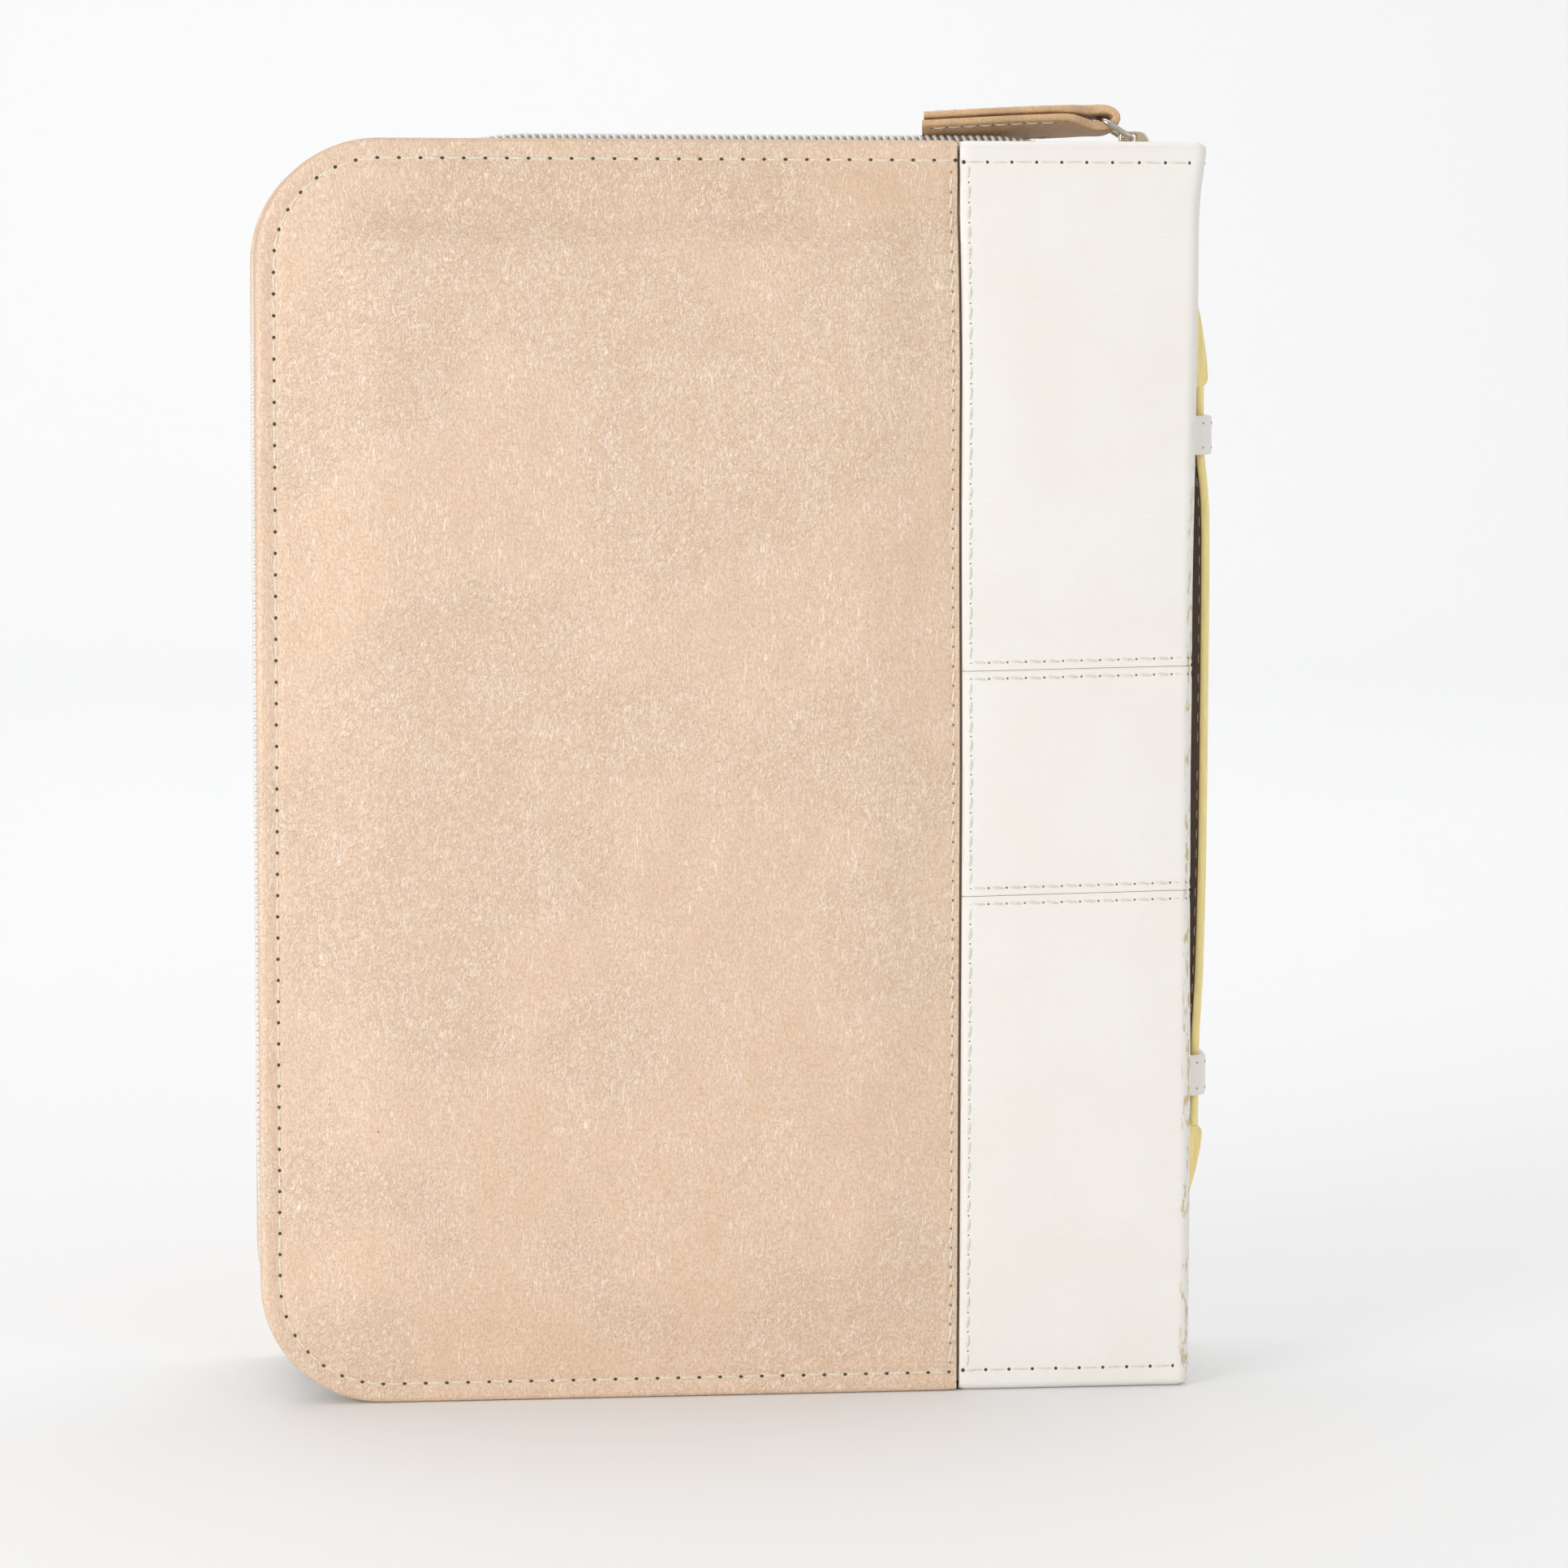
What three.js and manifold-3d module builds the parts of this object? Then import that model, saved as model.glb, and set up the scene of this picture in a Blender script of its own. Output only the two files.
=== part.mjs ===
// Zip-around padded cover with a prayer book inside, standing upright.
// Millimetres. +Z up, back cover towards -Y, spine towards +X.
import * as THREE from 'three';
import { mergeVertices } from 'three/addons/utils/BufferGeometryUtils.js';
import Module from 'manifold-3d';

const wasm = await Module();
wasm.setup();

// ---- driving dimensions ----
const HEIGHT = 255;
const X_FORE = -95;
const X_SPINE = 95;
const HALF_DEPTH = 26;
const CORNER_R = 25;
const X_COVER_END = 90.4;
const SHIFT_X = -3.4;

// layers of one cover, as distances from the middle plane
const SKIN = [24.8, 26];
const FOAM = [22.9, 24.7];
const BOARD = [21.0, 22.8];
const LINING = [20.5, 20.9];
const BOOK_BOARD = [18.4, 20.3];
const ENDPAPER = [18.1, 18.3];
const SLEEVE = [17.5, 20.4];
const SLEEVE_SHEET = 0.5;
const LEAVES = [0.1, 16.9];

// panels
const X_SEAM = 48.3;
const SEAM_GAP = 0.5;
const SEAM_UPPER_Z = 148.0;
const SEAM_LOWER_Z = 102.0;
const SEAM_SLOPE = 0.02;
const PIECE_GAP = 0.2;

// spine
const SPINE_SKIN = 1.2;
const SPINE_BOARD = [91.6, 93.7];
const SPINE_LINING = [91.0, 91.5];
const X_FLANGE = 90.5;

// zip
const TAPE_T = 0.6;
const TAPE_Y = [0.8, 20.4];
const TAPE_X = -92.6;
const TAPE_Z = [3.9, 250.9];
const RAIL_T = 2.1;
const RAIL_Y = [0.8, 2.4];
const RAIL_GAP = 0.2;
const X_RAIL_END = 88.0;
const ZIP_R = 22;

// slider and pull
const SLIDER_X = [80.5, 90.7];
const SLIDER_HALF_W = 4.6;
const PLATE_TOP = [254.05, 254.95];
const PLATE_LOW = [249.7, 250.6];
const POST_HALF_W = 0.5;
const WIRE_R = 0.6;
const WIRE_PIVOT = [85.4, 256.05];
const WIRE_TIP = [79.2, 259.85];
const WIRE_HALF_W = 4.4;
const TAB_END = [41.6, 257.8];
const TAB_W = 13;
const TAB_NECK_W = 7;
const TAB_T = 2.6;
const TAB_ROLL = 17;

// book
const LEAF_X = [-82, 76];
const LEAF_Z = [10, 245];
const BOOK_X = [-85.5, 78];
const BOOK_Z = [8, 247];
const BINDING = [76.3, 79, 10.4];
const BOOK_SPINE = [80.5, 82, 17];

// handle
const STRAP_W = 25;
const STRAP_T = 2;
const STRAP_LINE = [
  [97.0, 204.2], [97.0, 198.4], [97.0, 190.4], [97.7, 187.0], [99.7, 181.6],
  [100.6, 175.0], [100.8, 166.6], [100.8, 129.0], [100.6, 111.0], [100.2, 96.0],
  [99.5, 84.0], [98.5, 76.4], [97.4, 71.6], [97.0, 68.2], [97.0, 59.8], [97.0, 55.0],
];
const GRIP_Z = [92.0, 170.0];
const RUN_GAP = 0.8;
const KEEPER_UPPER_Z = [190.4, 198.4];
const KEEPER_LOWER_Z = [59.8, 68.2];
const KEEPER_HALF_W = 16;
const KEEPER_INNER = [13, 98.4];
const KEEPER_TOP = 99.9;
const STOP_UPPER_Z = [204.5, 222];
const STOP_LOWER_Z = [54.7, 39.5];
const STOP_HALF_W = 12.5;

const group = new THREE.Group();
group.name = 'prayer_book';

// ---- helpers ----
function material(colour, rough, metal = 0) {
  return new THREE.MeshStandardMaterial({ color: colour, roughness: rough, metalness: metal });
}

const LOOK = {
  rose: () => material(0xc9a08c, 0.5),
  cream: () => material(0xf0ede6, 0.6),
  foam: () => material(0xd8d2b8, 0.9),
  board: () => material(0xa89a80, 0.9),
  lining: () => material(0xd9cdbd, 0.9),
  tape: () => material(0xece8e0, 0.9),
  coil: () => material(0xf4f2ec, 0.4),
  metal: () => material(0xd9c9a5, 0.3, 1),
  nickel: () => material(0xc8c8c8, 0.3, 1),
  brown: () => material(0x6b4a33, 0.6),
  strap: () => material(0x8a6a4e, 0.6),
  paper: () => material(0xf2ecdc, 0.9),
  cloth: () => material(0x4a2b24, 0.9),
};

function add(name, geometry, look) {
  const geo = geometry.clone();
  geo.translate(SHIFT_X, 0, 0);
  const mesh = new THREE.Mesh(geo, LOOK[look]());
  mesh.name = name;
  group.add(mesh);
}

function box(x0, x1, y0, y1, z0, z1) {
  const geo = new THREE.BoxGeometry(x1 - x0, y1 - y0, z1 - z0);
  geo.translate((x0 + x1) / 2, (y0 + y1) / 2, (z0 + z1) / 2);
  return geo;
}

// closed outline in (x, z) pushed along y between y0 and y1
function plate(shape, y0, y1, segments = 10) {
  const geo = new THREE.ExtrudeGeometry(shape, {
    depth: y1 - y0, bevelEnabled: false, curveSegments: segments,
  });
  geo.translate(0, 0, -y1);
  geo.rotateX(Math.PI / 2);
  return geo;
}

// closed outline in (x, y) pushed along z between z0 and z1
function prism(shape, z0, z1, segments = 8) {
  const geo = new THREE.ExtrudeGeometry(shape, {
    depth: z1 - z0, bevelEnabled: false, curveSegments: segments,
  });
  geo.translate(0, 0, z0);
  return geo;
}

function span(side, layer) {
  return side < 0 ? [-layer[1], -layer[0]] : [layer[0], layer[1]];
}

function solid(geometry) {
  const geo = geometry.clone();
  geo.deleteAttribute('normal');
  geo.deleteAttribute('uv');
  const merged = mergeVertices(geo, 1e-5);
  return new wasm.Manifold(new wasm.Mesh({
    numProp: 3,
    vertProperties: new Float32Array(merged.attributes.position.array),
    triVerts: new Uint32Array(merged.index.array),
  }));
}

function fromSolid(body) {
  const mesh = body.getMesh();
  const geo = new THREE.BufferGeometry();
  geo.setAttribute('position', new THREE.BufferAttribute(new Float32Array(mesh.vertProperties), 3));
  geo.setIndex(new THREE.BufferAttribute(new Uint32Array(mesh.triVerts), 1));
  const flat = geo.toNonIndexed();
  flat.computeVertexNormals();
  return flat;
}

// rings of equal point counts joined one to the next; the ends are capped or the run is closed
function rings(list, closed = false) {
  const n = list[0].length;
  const points = list.flat();
  const index = [];
  const runs = closed ? list.length : list.length - 1;
  for (let i = 0; i < runs; i += 1) {
    const a = i * n;
    const b = ((i + 1) % list.length) * n;
    for (let j = 0; j < n; j += 1) {
      const k = (j + 1) % n;
      index.push(a + j, b + j, b + k, a + j, b + k, a + k);
    }
  }
  if (!closed) {
    const last = (list.length - 1) * n;
    for (let j = 1; j < n - 1; j += 1) {
      index.push(0, j, j + 1);
      index.push(last, last + j + 1, last + j);
    }
  }
  const geo = new THREE.BufferGeometry();
  const flat = new Float32Array(points.flatMap((p) => [p.x, p.y, p.z]));
  geo.setAttribute('position', new THREE.BufferAttribute(flat, 3));
  geo.setIndex(index);
  const out = geo.toNonIndexed();
  out.computeVertexNormals();
  return facingOut(out);
}

function facingOut(geo) {
  const p = geo.attributes.position;
  const a = new THREE.Vector3();
  const b = new THREE.Vector3();
  const c = new THREE.Vector3();
  let volume = 0;
  for (let i = 0; i < p.count; i += 3) {
    a.fromBufferAttribute(p, i);
    b.fromBufferAttribute(p, i + 1);
    c.fromBufferAttribute(p, i + 2);
    volume += a.dot(b.cross(c));
  }
  if (volume >= 0) return geo;
  for (let i = 0; i < p.count; i += 3) {
    b.fromBufferAttribute(p, i + 1);
    c.fromBufferAttribute(p, i + 2);
    p.setXYZ(i + 1, c.x, c.y, c.z);
    p.setXYZ(i + 2, b.x, b.y, b.z);
  }
  geo.computeVertexNormals();
  return geo;
}

// ---- outlines ----
function coverOutline(x0, x1, z0, z1, radius) {
  const s = new THREE.Shape();
  s.moveTo(x1, z0);
  s.lineTo(x1, z1);
  s.lineTo(x0 + radius, z1);
  s.absarc(x0 + radius, z1 - radius, radius, Math.PI / 2, Math.PI, false);
  s.lineTo(x0, z0 + radius);
  s.absarc(x0 + radius, z0 + radius, radius, Math.PI, 1.5 * Math.PI, false);
  s.lineTo(x1, z0);
  return s;
}

function quad(x0, x1, low, high) {
  const s = new THREE.Shape();
  s.moveTo(x0, low[0]);
  s.lineTo(x1, low[1]);
  s.lineTo(x1, high[1]);
  s.lineTo(x0, high[0]);
  s.lineTo(x0, low[0]);
  return s;
}

// strip of thickness t inside a U that is open towards +x
function uStrip(xEnd, xFore, z0, z1, radius, t) {
  const s = new THREE.Shape();
  const inner = radius - t;
  s.moveTo(xEnd, z1);
  s.lineTo(xFore + radius, z1);
  s.absarc(xFore + radius, z1 - radius, radius, Math.PI / 2, Math.PI, false);
  s.lineTo(xFore, z0 + radius);
  s.absarc(xFore + radius, z0 + radius, radius, Math.PI, 1.5 * Math.PI, false);
  s.lineTo(xEnd, z0);
  s.lineTo(xEnd, z0 + t);
  s.lineTo(xFore + radius, z0 + t);
  s.absarc(xFore + radius, z0 + radius, inner, 1.5 * Math.PI, Math.PI, true);
  s.lineTo(xFore + t, z1 - radius);
  s.absarc(xFore + radius, z1 - radius, inner, Math.PI, Math.PI / 2, true);
  s.lineTo(xEnd, z1 - t);
  s.lineTo(xEnd, z1);
  return s;
}

function seamZ(base, x) {
  return base + SEAM_SLOPE * (x - X_SEAM);
}

// ---- the two covers ----
function cover(side, tag) {
  const skin = span(side, SKIN);
  const x0 = X_SEAM + SEAM_GAP;
  const x1 = X_COVER_END;
  add(`${tag}_rose_panel`, plate(coverOutline(X_FORE, X_SEAM, 0, HEIGHT, CORNER_R), ...skin), 'rose');
  const g = PIECE_GAP / 2;
  const up = [seamZ(SEAM_UPPER_Z, x0), seamZ(SEAM_UPPER_Z, x1)];
  const low = [seamZ(SEAM_LOWER_Z, x0), seamZ(SEAM_LOWER_Z, x1)];
  const pieces = [
    ['upper', [up[0] + g, up[1] + g], [HEIGHT, HEIGHT]],
    ['middle', [low[0] + g, low[1] + g], [up[0] - g, up[1] - g]],
    ['lower', [0, 0], [low[0] - g, low[1] - g]],
  ];
  for (const [row, a, b] of pieces) {
    add(`${tag}_cream_${row}`, plate(quad(x0, x1, a, b), ...skin), 'cream');
  }
  add(`${tag}_foam`, plate(coverOutline(X_FORE + 2, 89.8, 2, HEIGHT - 2, CORNER_R - 2),
    ...span(side, FOAM)), 'foam');
  add(`${tag}_board`, plate(coverOutline(X_FORE + 2, 89.8, 2, HEIGHT - 2, CORNER_R - 2),
    ...span(side, BOARD)), 'board');
  add(`${tag}_lining`, plate(coverOutline(X_FORE + 1, X_COVER_END, 1, HEIGHT - 1, CORNER_R - 1),
    ...span(side, LINING)), 'lining');
  sleeve(side, tag);
  add(`${tag}_book_board`, plate(coverOutline(...BOOK_X, ...BOOK_Z, 10), ...span(side, BOOK_BOARD)), 'cloth');
  add(`${tag}_endpaper`, plate(coverOutline(BOOK_X[0] + 2, BOOK_X[1] - 1, BOOK_Z[0] + 1,
    BOOK_Z[1] - 1, 9), ...span(side, ENDPAPER)), 'paper');
  zipHalf(side, tag);
}

function sleeve(side, tag) {
  const outer = plate(coverOutline(-88, -20, 5.5, 249.5, 14), ...span(side, SLEEVE));
  const hollow = span(side, [SLEEVE[0] + SLEEVE_SHEET, SLEEVE[1] + 1]);
  const cut = plate(coverOutline(-86.6, -19, 7, 248, 12.6), ...hollow);
  add(`${tag}_sleeve`, fromSolid(solid(outer).subtract(solid(cut))), 'lining');
}

function zipHalf(side, tag) {
  const tape = uStrip(X_RAIL_END, TAPE_X, TAPE_Z[0] - TAPE_T, TAPE_Z[1] + TAPE_T, ZIP_R, TAPE_T);
  add(`${tag}_zip_tape`, plate(tape, ...span(side, TAPE_Y), 8), 'tape');
  const out = RAIL_GAP + RAIL_T;
  const rail = uStrip(X_RAIL_END, TAPE_X - out, TAPE_Z[0] - TAPE_T - out,
    TAPE_Z[1] + TAPE_T + out, ZIP_R + out, RAIL_T);
  add(`${tag}_zip_coil`, plate(rail, ...span(side, RAIL_Y), 8), 'coil');
  const topZ = TAPE_Z[1] + TAPE_T + RAIL_GAP;
  const lowZ = TAPE_Z[0] - TAPE_T - RAIL_GAP;
  const y = span(side, [RAIL_Y[0], RAIL_Y[1] + 0.3]);
  add(`${tag}_zip_stop_top`, box(X_RAIL_END + 0.2, X_RAIL_END + 2, ...y, topZ - 0.6, topZ + RAIL_T), 'metal');
  add(`${tag}_zip_stop_bottom`, box(X_RAIL_END + 0.2, X_RAIL_END + 2, ...y, lowZ - RAIL_T, lowZ + 0.6), 'metal');
}

cover(-1, 'back');
cover(1, 'front');

// ---- the spine ----
function channel(z0, z1) {
  const s = new THREE.Shape();
  const h = HALF_DEPTH;
  s.moveTo(X_FLANGE, -h);
  s.lineTo(X_SPINE, -h);
  s.lineTo(X_SPINE, h);
  s.lineTo(X_FLANGE, h);
  s.lineTo(X_FLANGE, h - SPINE_SKIN);
  s.lineTo(X_SPINE - SPINE_SKIN, h - SPINE_SKIN);
  s.lineTo(X_SPINE - SPINE_SKIN, -h + SPINE_SKIN);
  s.lineTo(X_FLANGE, -h + SPINE_SKIN);
  s.lineTo(X_FLANGE, -h);
  return prism(s, z0, z1);
}

const spineUp = seamZ(SEAM_UPPER_Z, X_COVER_END);
const spineLow = seamZ(SEAM_LOWER_Z, X_COVER_END);
add('spine_skin_upper', channel(spineUp + PIECE_GAP / 2, HEIGHT), 'cream');
add('spine_skin_middle', channel(spineLow + PIECE_GAP / 2, spineUp - PIECE_GAP / 2), 'cream');
add('spine_skin_lower', channel(0, spineLow - PIECE_GAP / 2), 'cream');
add('spine_board', box(...SPINE_BOARD, -24.7, 24.7, 1, HEIGHT - 1), 'board');
add('spine_lining', box(...SPINE_LINING, -24.7, 24.7, 1, HEIGHT - 1), 'lining');

function keeper(name, z) {
  const s = new THREE.Shape();
  const w = KEEPER_HALF_W;
  const [inner, under] = KEEPER_INNER;
  const x0 = X_SPINE + 0.02;
  const r = 2.4;
  s.moveTo(x0, -w);
  s.lineTo(KEEPER_TOP - r, -w);
  s.quadraticCurveTo(KEEPER_TOP, -w, KEEPER_TOP, -w + r);
  s.lineTo(KEEPER_TOP, w - r);
  s.quadraticCurveTo(KEEPER_TOP, w, KEEPER_TOP - r, w);
  s.lineTo(x0, w);
  s.lineTo(x0, inner);
  s.lineTo(under, inner);
  s.lineTo(under, -inner);
  s.lineTo(x0, -inner);
  s.lineTo(x0, -w);
  add(name, prism(s, ...z, 4), 'cream');
}

keeper('keeper_upper', KEEPER_UPPER_Z);
keeper('keeper_lower', KEEPER_LOWER_Z);

// ---- the book ----
add('book_spine_strip', box(BOOK_SPINE[0], BOOK_SPINE[1], -BOOK_SPINE[2], BOOK_SPINE[2], ...BOOK_Z), 'cloth');
add('text_block_binding', box(BINDING[0], BINDING[1], -BINDING[2], BINDING[2], ...LEAF_Z), 'tape');
add('headband_top', box(BINDING[0], BINDING[1], -BINDING[2], BINDING[2],
  LEAF_Z[1] + 0.1, LEAF_Z[1] + 1.6), 'cloth');
add('headband_bottom', box(BINDING[0], BINDING[1], -BINDING[2], BINDING[2],
  LEAF_Z[0] - 1.6, LEAF_Z[0] - 0.1), 'cloth');
for (const [side, tag] of [[-1, 'back'], [1, 'front']]) {
  const stack = plate(coverOutline(...LEAF_X, ...LEAF_Z, 8), ...span(side, LEAVES));
  add(`${tag}_leaves`, stack, 'paper');
}

// ---- the carrying strap ----
const strapCurve = new THREE.CatmullRomCurve3(STRAP_LINE.map(([x, z]) => new THREE.Vector3(x, 0, z)));
const strapPoints = strapCurve.getSpacedPoints(240);

function strapX(z) {
  for (let i = 1; i < strapPoints.length; i += 1) {
    const a = strapPoints[i - 1];
    const b = strapPoints[i];
    if (z <= a.z && z >= b.z) return a.x + (b.x - a.x) * ((a.z - z) / (a.z - b.z));
  }
  return z > 129 ? STRAP_LINE[0][0] : STRAP_LINE[STRAP_LINE.length - 1][0];
}

function strapPiece(name, z0, z1, count) {
  const list = [];
  for (let i = 0; i <= count; i += 1) {
    const z = z0 + (z1 - z0) * (i / count);
    const e = 0.2;
    const slope = (strapX(z + e) - strapX(z - e)) / (2 * e);
    const long = Math.sqrt(1 + slope * slope);
    const nx = 1 / long;
    const nz = i === 0 || i === count ? 0 : -slope / long;
    const t = STRAP_T / 2;
    const w = STRAP_W / 2;
    const x = strapX(z);
    const corner = (side, y) => new THREE.Vector3(x + side * nx * t, y, z + side * nz * t);
    list.push([corner(-1, -w), corner(1, -w + 0.4), corner(1, w - 0.4), corner(-1, w)]);
  }
  add(name, rings(list), 'strap');
}

strapPiece('handle_grip', GRIP_Z[0], GRIP_Z[1], 14);
strapPiece('handle_upper_run', GRIP_Z[1] + RUN_GAP, 204.2, 16);
strapPiece('handle_lower_run', 55.0, GRIP_Z[0] - RUN_GAP, 16);

function stopper(name, z, heights) {
  const list = [];
  const count = 8;
  const under = 95.4;
  for (let i = 0; i <= count; i += 1) {
    const f = i / count;
    const zz = z[0] + (z[1] - z[0]) * f;
    const round = Math.max(0, (f - 0.55) / 0.45);
    const w = STOP_HALF_W * Math.sqrt(1 - 0.72 * round * round);
    const top = X_SPINE + heights[0] + (heights[1] - heights[0]) * f;
    list.push([
      new THREE.Vector3(under, -w, zz),
      new THREE.Vector3(top, -w, zz),
      new THREE.Vector3(top, w, zz),
      new THREE.Vector3(under, w, zz),
    ]);
  }
  add(name, rings(list), 'strap');
}

stopper('handle_upper_stopper', STOP_UPPER_Z, [5.8, 2.8]);
stopper('handle_lower_stopper', STOP_LOWER_Z, [5.5, 3.0]);

// ---- slider and pull ----
function rounded(x0, x1, half, nose) {
  const s = new THREE.Shape();
  s.moveTo(x0 + 1, -half + 0.6);
  s.lineTo(x1 - nose, -half);
  s.quadraticCurveTo(x1, -half, x1, 0);
  s.quadraticCurveTo(x1, half, x1 - nose, half);
  s.lineTo(x0 + 1, half - 0.6);
  s.quadraticCurveTo(x0, half - 0.6, x0, half - 1.6);
  s.lineTo(x0, -half + 1.6);
  s.quadraticCurveTo(x0, -half + 0.6, x0 + 1, -half + 0.6);
  return s;
}

const upperPlate = solid(prism(rounded(...SLIDER_X, SLIDER_HALF_W, 3.4), ...PLATE_TOP, 5));
const lowerPlate = solid(prism(rounded(...SLIDER_X, SLIDER_HALF_W, 3.4), ...PLATE_LOW, 5));
const SX = SLIDER_X[0];
const post = solid(box(SX + 6.1, SX + 9.1, -POST_HALF_W, POST_HALF_W, PLATE_LOW[1] - 0.2, PLATE_TOP[0] + 0.2));
const flange = solid(box(SX + 1.7, SX + 7.7, -3.4, -2.75, PLATE_TOP[0] - 2.15, PLATE_TOP[0] + 0.2));
add('slider_body', fromSolid(upperPlate.add(lowerPlate).add(post).add(flange)), 'metal');

function bridge() {
  const s = new THREE.Shape();
  const z0 = PLATE_TOP[1] + 0.02;
  const under = PLATE_TOP[1] + 2.1;
  const top = PLATE_TOP[1] + 2.8;
  s.moveTo(SX + 2.7, z0);
  s.lineTo(SX + 3.6, z0);
  s.lineTo(SX + 3.6, under);
  s.lineTo(SX + 6.2, under);
  s.lineTo(SX + 6.2, z0);
  s.lineTo(SX + 9.1, z0);
  s.quadraticCurveTo(SX + 8.7, top, SX + 6.1, top);
  s.lineTo(SX + 3.9, top);
  s.quadraticCurveTo(SX + 2.7, top, SX + 2.7, top - 1.15);
  s.lineTo(SX + 2.7, z0);
  return plate(s, -1, 1, 5);
}
add('slider_bridge', bridge(), 'metal');

// closed wire loop, its short bars along y
function wireLoop() {
  const dir = new THREE.Vector3(WIRE_TIP[0] - WIRE_PIVOT[0], 0, WIRE_TIP[1] - WIRE_PIVOT[1]);
  const long = dir.length();
  dir.normalize();
  const side = new THREE.Vector3(0, 1, 0);
  const up = new THREE.Vector3().crossVectors(dir, side);
  const start = new THREE.Vector3(WIRE_PIVOT[0], 0, WIRE_PIVOT[1]);
  const r = 1.1;
  const corners = [[r, WIRE_HALF_W - r, 0], [long - r, WIRE_HALF_W - r, 1],
    [long - r, -WIRE_HALF_W + r, 2], [r, -WIRE_HALF_W + r, 3]];
  const path = [];
  for (const [u, v, q] of corners) {
    const from = [Math.PI, Math.PI / 2, 0, -Math.PI / 2][q];
    for (let i = 0; i <= 4; i += 1) {
      const a = from - (Math.PI / 2) * (i / 4);
      path.push([u + r * Math.cos(a), v + r * Math.sin(a), Math.cos(a), Math.sin(a)]);
    }
  }
  const list = path.map(([u, v, nu, nv]) => {
    const centre = start.clone().addScaledVector(dir, u).addScaledVector(side, v);
    const out = dir.clone().multiplyScalar(nu).addScaledVector(side, nv);
    const ring = [];
    for (let k = 0; k < 8; k += 1) {
      const a = (2 * Math.PI * (k + 0.5)) / 8;
      ring.push(centre.clone().addScaledVector(out, WIRE_R * Math.cos(a)).addScaledVector(up, WIRE_R * Math.sin(a)));
    }
    return ring;
  });
  return rings(list, true);
}
add('pull_wire', wireLoop(), 'nickel');

function smooth(t) {
  const c = Math.min(1, Math.max(0, t));
  return c * c * (3 - 2 * c);
}

function pullTab() {
  const list = [];
  const count = 20;
  const x1 = WIRE_TIP[0] + 1.9;
  for (let i = 0; i <= count; i += 1) {
    const f = i / count;
    const x = x1 + (TAB_END[0] - x1) * f;
    const away = x1 - x;
    const along = (WIRE_TIP[0] - x) / (WIRE_TIP[0] - TAB_END[0]);
    const zc = WIRE_TIP[1] + (TAB_END[1] - WIRE_TIP[1]) * Math.max(0, along);
    const roll = -THREE.MathUtils.degToRad(TAB_ROLL) * smooth((away - 4.2) / 9);
    const w = (TAB_NECK_W + (TAB_W - TAB_NECK_W) * smooth((away - 4.4) / 4)) / 2;
    const nose = Math.min(1, (away + 0.5) / 1.6);
    const t = (1.9 - 0.6 * smooth((away - 3.8) / 3)) * nose;
    const corner = (y, z) => new THREE.Vector3(
      x, y * Math.cos(roll) - z * Math.sin(roll), zc + y * Math.sin(roll) + z * Math.cos(roll));
    list.push([corner(-w, -t), corner(-w, t), corner(0, t), corner(w, t), corner(w, -t), corner(0, -t)]);
  }
  const body = solid(rings(list));
  const bore = new THREE.CylinderGeometry(1.0, 1.0, 12, 14);
  bore.translate(WIRE_TIP[0], 0, WIRE_TIP[1]);
  return fromSolid(body.subtract(solid(bore)));
}
add('pull_tab', pullTab(), 'brown');

export default group;
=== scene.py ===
"""A prayer book in a padded zip-around cover with a carrying strap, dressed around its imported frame."""

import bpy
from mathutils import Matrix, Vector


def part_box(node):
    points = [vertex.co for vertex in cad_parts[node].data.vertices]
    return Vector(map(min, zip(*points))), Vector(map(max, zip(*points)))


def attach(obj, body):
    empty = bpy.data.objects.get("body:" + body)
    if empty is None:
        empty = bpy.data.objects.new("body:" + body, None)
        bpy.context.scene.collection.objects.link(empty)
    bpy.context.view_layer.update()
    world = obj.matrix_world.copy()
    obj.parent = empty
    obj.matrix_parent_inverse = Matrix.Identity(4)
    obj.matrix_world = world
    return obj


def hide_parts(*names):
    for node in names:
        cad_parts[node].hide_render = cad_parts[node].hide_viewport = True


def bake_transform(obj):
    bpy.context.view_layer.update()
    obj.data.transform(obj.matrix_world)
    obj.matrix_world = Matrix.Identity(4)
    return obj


bl_info = {
    "name": "Zip-around prayer book",
    "version": (1, 0, 0),
    "blender": (4, 5, 0),
    "location": "3D View > Sidebar > Prayer Book",
    "description": "Builds the leather, stitches, zip, strap and book of a zip-around prayer book",
    "category": "Add Mesh",
}

import math

import bmesh
import bpy
import numpy as np
from mathutils import Matrix, Vector

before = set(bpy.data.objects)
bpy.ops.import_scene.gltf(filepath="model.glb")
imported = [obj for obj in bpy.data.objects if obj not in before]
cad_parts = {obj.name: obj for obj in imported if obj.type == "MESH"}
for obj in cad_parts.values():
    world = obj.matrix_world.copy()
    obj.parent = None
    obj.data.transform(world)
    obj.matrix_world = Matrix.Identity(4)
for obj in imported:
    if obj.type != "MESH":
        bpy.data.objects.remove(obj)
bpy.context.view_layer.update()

MM = 0.001
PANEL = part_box("back_rose_panel")
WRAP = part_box("back_cream_upper")
CREAM_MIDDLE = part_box("back_cream_middle")
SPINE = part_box("spine_skin_upper")
COVER_FACE = -PANEL[0][1]
X_FORE, X_SEAM = PANEL[0][0], PANEL[1][0]
X_WRAP = WRAP[0][0]
X_SPINE = SPINE[1][0]
X_FOLD = WRAP[1][0]
HEIGHT = PANEL[1][2]
CORNER = 25 * MM
STITCH_IN = 4.0 * MM
SIDES = (("back", -1.0), ("front", 1.0))
SEAM_SLOPE = 0.02


# ---------------------------------------------------------------- numbers and meshes


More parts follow.
